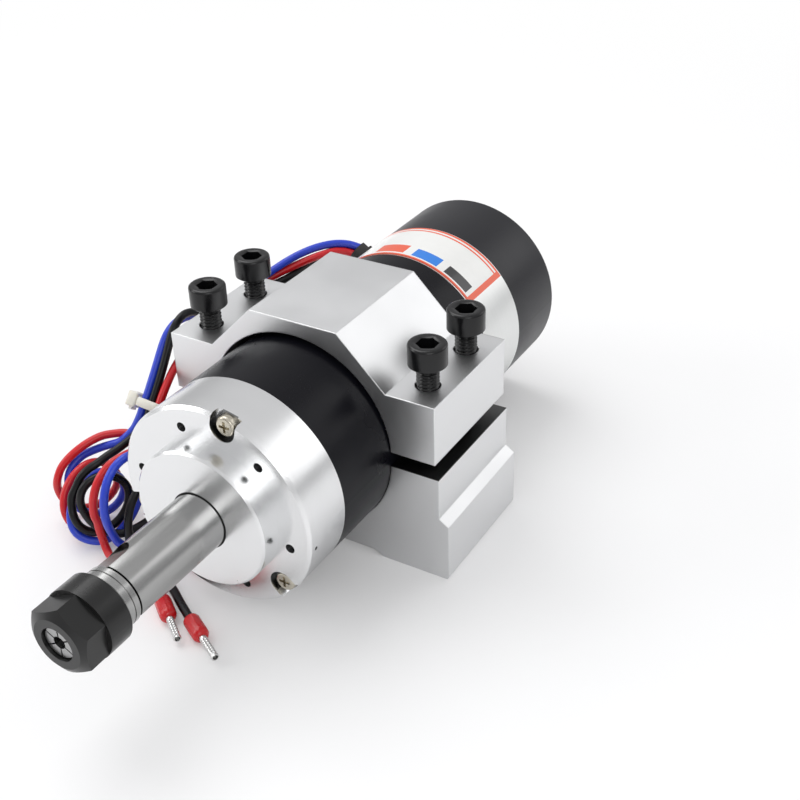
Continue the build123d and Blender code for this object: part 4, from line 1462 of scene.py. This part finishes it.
@dataclass
class ClampScrews:
    """Four socket-head screws with rolled threads, backed out of the clamp."""

    half_x_mm: float = 33.5
    half_y_mm: float = 10.0
    seat_mm: float = 57.6
    head_radius_mm: float = 5.0
    head_height_mm: float = 6.0
    socket_width_mm: float = 5.0
    socket_depth_mm: float = 3.0
    thread_radius_mm: float = 2.96
    root_radius_mm: float = 2.46
    pitch_mm: float = 1.0
    length_mm: float = 40.0
    shank_sides: int = 36

    def places(self) -> dict[Body, tuple[float, float]]:
        """Works out where the screws stand.

        Returns:
            x and y in millimetres of the screw on each body.
        """
        return {
            Body.LEFT_FRONT: (-self.half_x_mm, -self.half_y_mm),
            Body.LEFT_REAR: (-self.half_x_mm, self.half_y_mm),
            Body.RIGHT_FRONT: (self.half_x_mm, -self.half_y_mm),
            Body.RIGHT_REAR: (self.half_x_mm, self.half_y_mm),
        }

    def thread_tree(self) -> GeometrySheet:
        """Makes the Geometry Nodes tree of a threaded shank.

        Returns:
            The tree's sheet.
        """
        sheet = GeometrySheet("threaded_shank")
        names = ("Length", "Crest Radius", "Root Radius", "Pitch")
        length, outer, root, pitch = (sheet.asks(name) for name in names)
        place = sheet.asks("Place", "NodeSocketVector")
        finish = sheet.asks("Finish", "NodeSocketMaterial")
        thread = sheet.thread(self.shank_sides, length, outer, root, pitch, ends="NGON")
        moved = sheet.add("GeometryNodeTransform", {"Geometry": thread, "Translation": place})
        sheet.close(moved.outputs[0], finish)
        return sheet

    def socket_radius(self, angle: float) -> float:
        """Distance from the screw's axis to the wall of its hexagonal socket."""
        sector = math.radians(60)
        return self.socket_width_mm / 2 / math.cos((angle + sector / 2) % sector - sector / 2)

    def head(self, name: str, x: float, y: float) -> bpy.types.Object:
        """Makes a cylinder head with rounded rim and hexagonal socket.

        Args:
            name: Name of the piece.
            x: Place of the screw in millimetres.
            y: Place of the screw in millimetres.

        Returns:
            Its piece.
        """
        full = self.head_radius_mm
        top = self.head_height_mm
        wide = self.socket_width_mm / 2 / math.cos(math.radians(30))
        floor = top - self.socket_depth_mm
        rows: list[Row] = [
            (0.0, 2.6),
            (0.0, full - 0.25),
            (0.22, full),
            (top - 0.75, full),
            (top - 0.38, full - 0.10),
            (top - 0.12, full - 0.36),
            (top, full - 0.75),
            (top, wide + 0.35),
            (top - 0.28, lambda angle: self.socket_radius(angle) + 0.02),
            (floor, self.socket_radius),
            (floor - 0.9, 0.25),
        ]
        mesh = lathe(name, rows, count=96, where=standing(x, y, self.seat_mm))
        return add_piece(name, mesh, OXIDE)

    def build(self) -> None:
        """Makes the four screws, each on its own body."""
        tree = self.thread_tree()
        for body, (x, y) in self.places().items():
            ending = body.name.lower()
            shank = tree.grow(
                f"screw_thread_{ending}",
                {
                    "Crest Radius": self.thread_radius_mm * MM,
                    "Root Radius": self.root_radius_mm * MM,
                    "Pitch": self.pitch_mm * MM,
                    "Length": self.length_mm * MM,
                    "Place": (x * MM, y * MM, (self.seat_mm - self.length_mm / 2) * MM),
                    "Finish": BOOK.get(OXIDE),
                },
            )
            shade_by_angle(shank.data, limit=60.0)
            head = self.head(f"screw_head_{ending}", x, y)
            for piece in (shank, head):
                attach(piece, body.value)
                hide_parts(f"clamp_screw_{ending}")
        log.info("four clamp screws with threads")


@dataclass
class NoseDetail:
    """Small things on the front face: thread turns in the tapped holes, the seal at the shaft."""

    hole_count: int = 6
    pitch_radius_mm: float = 22.0
    hole_radius_mm: float = 1.235
    crest_radius_mm: float = 1.04
    thread_pitch_mm: float = 0.5
    depth_mm: float = 7.6
    hole_sides: int = 28
    first_turn: float = -18.5
    face_mm: float = -55.3
    boss_front_mm: float = -61.2
    shaft_radius_mm: float = 7.5
    sink_mm: float = 0.25

    def hole_tree(self) -> GeometrySheet:
        """Makes the Geometry Nodes tree of the thread turns in a circle of tapped holes.

        Returns:
            The tree's sheet.
        """
        sheet = GeometrySheet("tapped_holes")
        names = ("Pitch Radius", "Hole Radius", "Crest Radius", "Thread Pitch", "Depth", "First Turn")
        reach, root, crest, pitch, depth, first = (sheet.asks(name) for name in names)
        count = sheet.asks("Count", "NodeSocketInt")
        centre = sheet.asks("Centre", "NodeSocketVector")
        finish = sheet.asks("Finish", "NodeSocketMaterial")
        thread = sheet.thread(self.hole_sides, depth, root, crest, pitch, ends="NONE")
        inward = sheet.add("GeometryNodeFlipFaces", {"Mesh": thread})
        turned = {"Geometry": inward.outputs[0], "Rotation": (math.radians(-90), 0.0, 0.0)}
        laid = sheet.add("GeometryNodeTransform", turned)
        points = sheet.add("GeometryNodeMeshLine", {"Count": count})
        index = sheet.add("GeometryNodeInputIndex").outputs[0]
        share = sheet.sums("DIVIDE", sheet.sums("MULTIPLY", index, 2 * math.pi), count)
        angle = sheet.sums("ADD", first, share)
        x = sheet.sums("MULTIPLY", reach, sheet.sums("SINE", angle))
        z = sheet.sums("MULTIPLY", reach, sheet.sums("COSINE", angle))
        spot = sheet.add("ShaderNodeCombineXYZ", {0: x, 2: z}).outputs[0]
        offset = sheet.add("ShaderNodeVectorMath", {0: spot, 1: centre}, operation="ADD").outputs[0]
        line = {"Geometry": points.outputs[0], "Position": offset}
        placed = sheet.add("GeometryNodeSetPosition", line)
        pair = {"Points": placed.outputs[0], "Instance": laid.outputs[0]}
        copies = sheet.add("GeometryNodeInstanceOnPoints", pair)
        sheet.close(copies.outputs[0], finish)
        return sheet

    def build(self) -> None:
        """Makes the thread turns and the seal ring."""
        threads = self.hole_tree().grow(
            "nose_hole_threads",
            {
                "Count": self.hole_count,
                "Pitch Radius": self.pitch_radius_mm * MM,
                "Hole Radius": self.hole_radius_mm * MM,
                "Crest Radius": self.crest_radius_mm * MM,
                "Thread Pitch": self.thread_pitch_mm * MM,
                "Depth": self.depth_mm * MM,
                "First Turn": math.radians(self.first_turn),
                "Centre": (0.0, (self.face_mm + self.sink_mm + self.depth_mm / 2) * MM, AXIS_HEIGHT * MM),
                "Finish": BOOK.get(OXIDE),
            },
        )
        shade_by_angle(threads.data, limit=60.0)
        inner = self.shaft_radius_mm + 0.05
        rows = [
            (0.0, inner),
            (-0.08, inner + 0.04),
            (-0.10, inner + 0.14),
            (-0.08, inner + 0.24),
            (0.0, inner + 0.28),
        ]
        ring = lathe("shaft_seal", rows, count=96, where=lying(self.boss_front_mm), hole=True)
        seal = add_piece("shaft_seal", ring, SEAL)
        for piece in (threads, seal):
            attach(piece, Body.HOUSING.value)
        log.info("nose: %d threaded holes and the shaft seal", self.hole_count)


# Finishes of the CAD nodes


@dataclass
class NodeFinishes:
    """Which finish each CAD node wears."""

    def build(self) -> None:
        """Coats every node that stays in view."""
        for finish, nodes in (
            (MILLED, ["clamp_base", "clamp_cap"]),
            (TUBE, ["motor_tube"]),
            (COVER, ["rear_cover"]),
            (TURNED, ["front_housing"]),
            (RING, ["lead_ring"]),
            (NICKEL, ["housing_screws", "rear_screws"]),
            (SHAFT, ["spindle_shaft"]),
            (COLLET_STEEL, ["collet"]),
            (NUT_OXIDE, ["collet_nut", "bearing_locknut"]),
            (BEARING, ["extractor_ring", "bearing_retainer", "wave_washer", "retaining_ring"]),
            (BEARING, ["front_bearing_outer_ring", "front_bearing_inner_ring"]),
            (BEARING, ["rear_bearing_outer_ring", "rear_bearing_inner_ring"]),
            (BALL, ["front_bearing_balls", "rear_bearing_balls"]),
            (BRASS, ["front_bearing_cage", "rear_bearing_cage"]),
            (IRON, ["stator_core", "rotor_core"]),
            (WIRE, ["stator_windings"]),
            (MAGNET, ["rotor_magnets"]),
            (LABEL, ["label_plate"]),
            (RUBBER, ["lead_gland"]),
        ):
            coat_nodes(finish, nodes)


def main() -> None:
    """Builds the studio and every piece, and reports each."""
    logging.basicConfig(level=logging.INFO, format="%(name)s: %(message)s")
    Studio().build()
    hank = Hank()
    Lead(LeadColour.RED, [*RED_RUN, *hank.turns(RED_TURNS), *RED_TAIL], 0.300).build()
    Lead(LeadColour.BLUE, [*BLUE_RUN, *hank.turns(BLUE_TURNS), *BLUE_TAIL], 0.280).build()
    Lead(LeadColour.BLACK, [*BLACK_RUN, *hank.turns(BLACK_TURNS), *BLACK_TAIL], 0.281).build()
    CableTie().build()
    ClampScrews().build()
    NoseDetail().build()
    NodeFinishes().build()


if __name__ == "__main__":
    main()
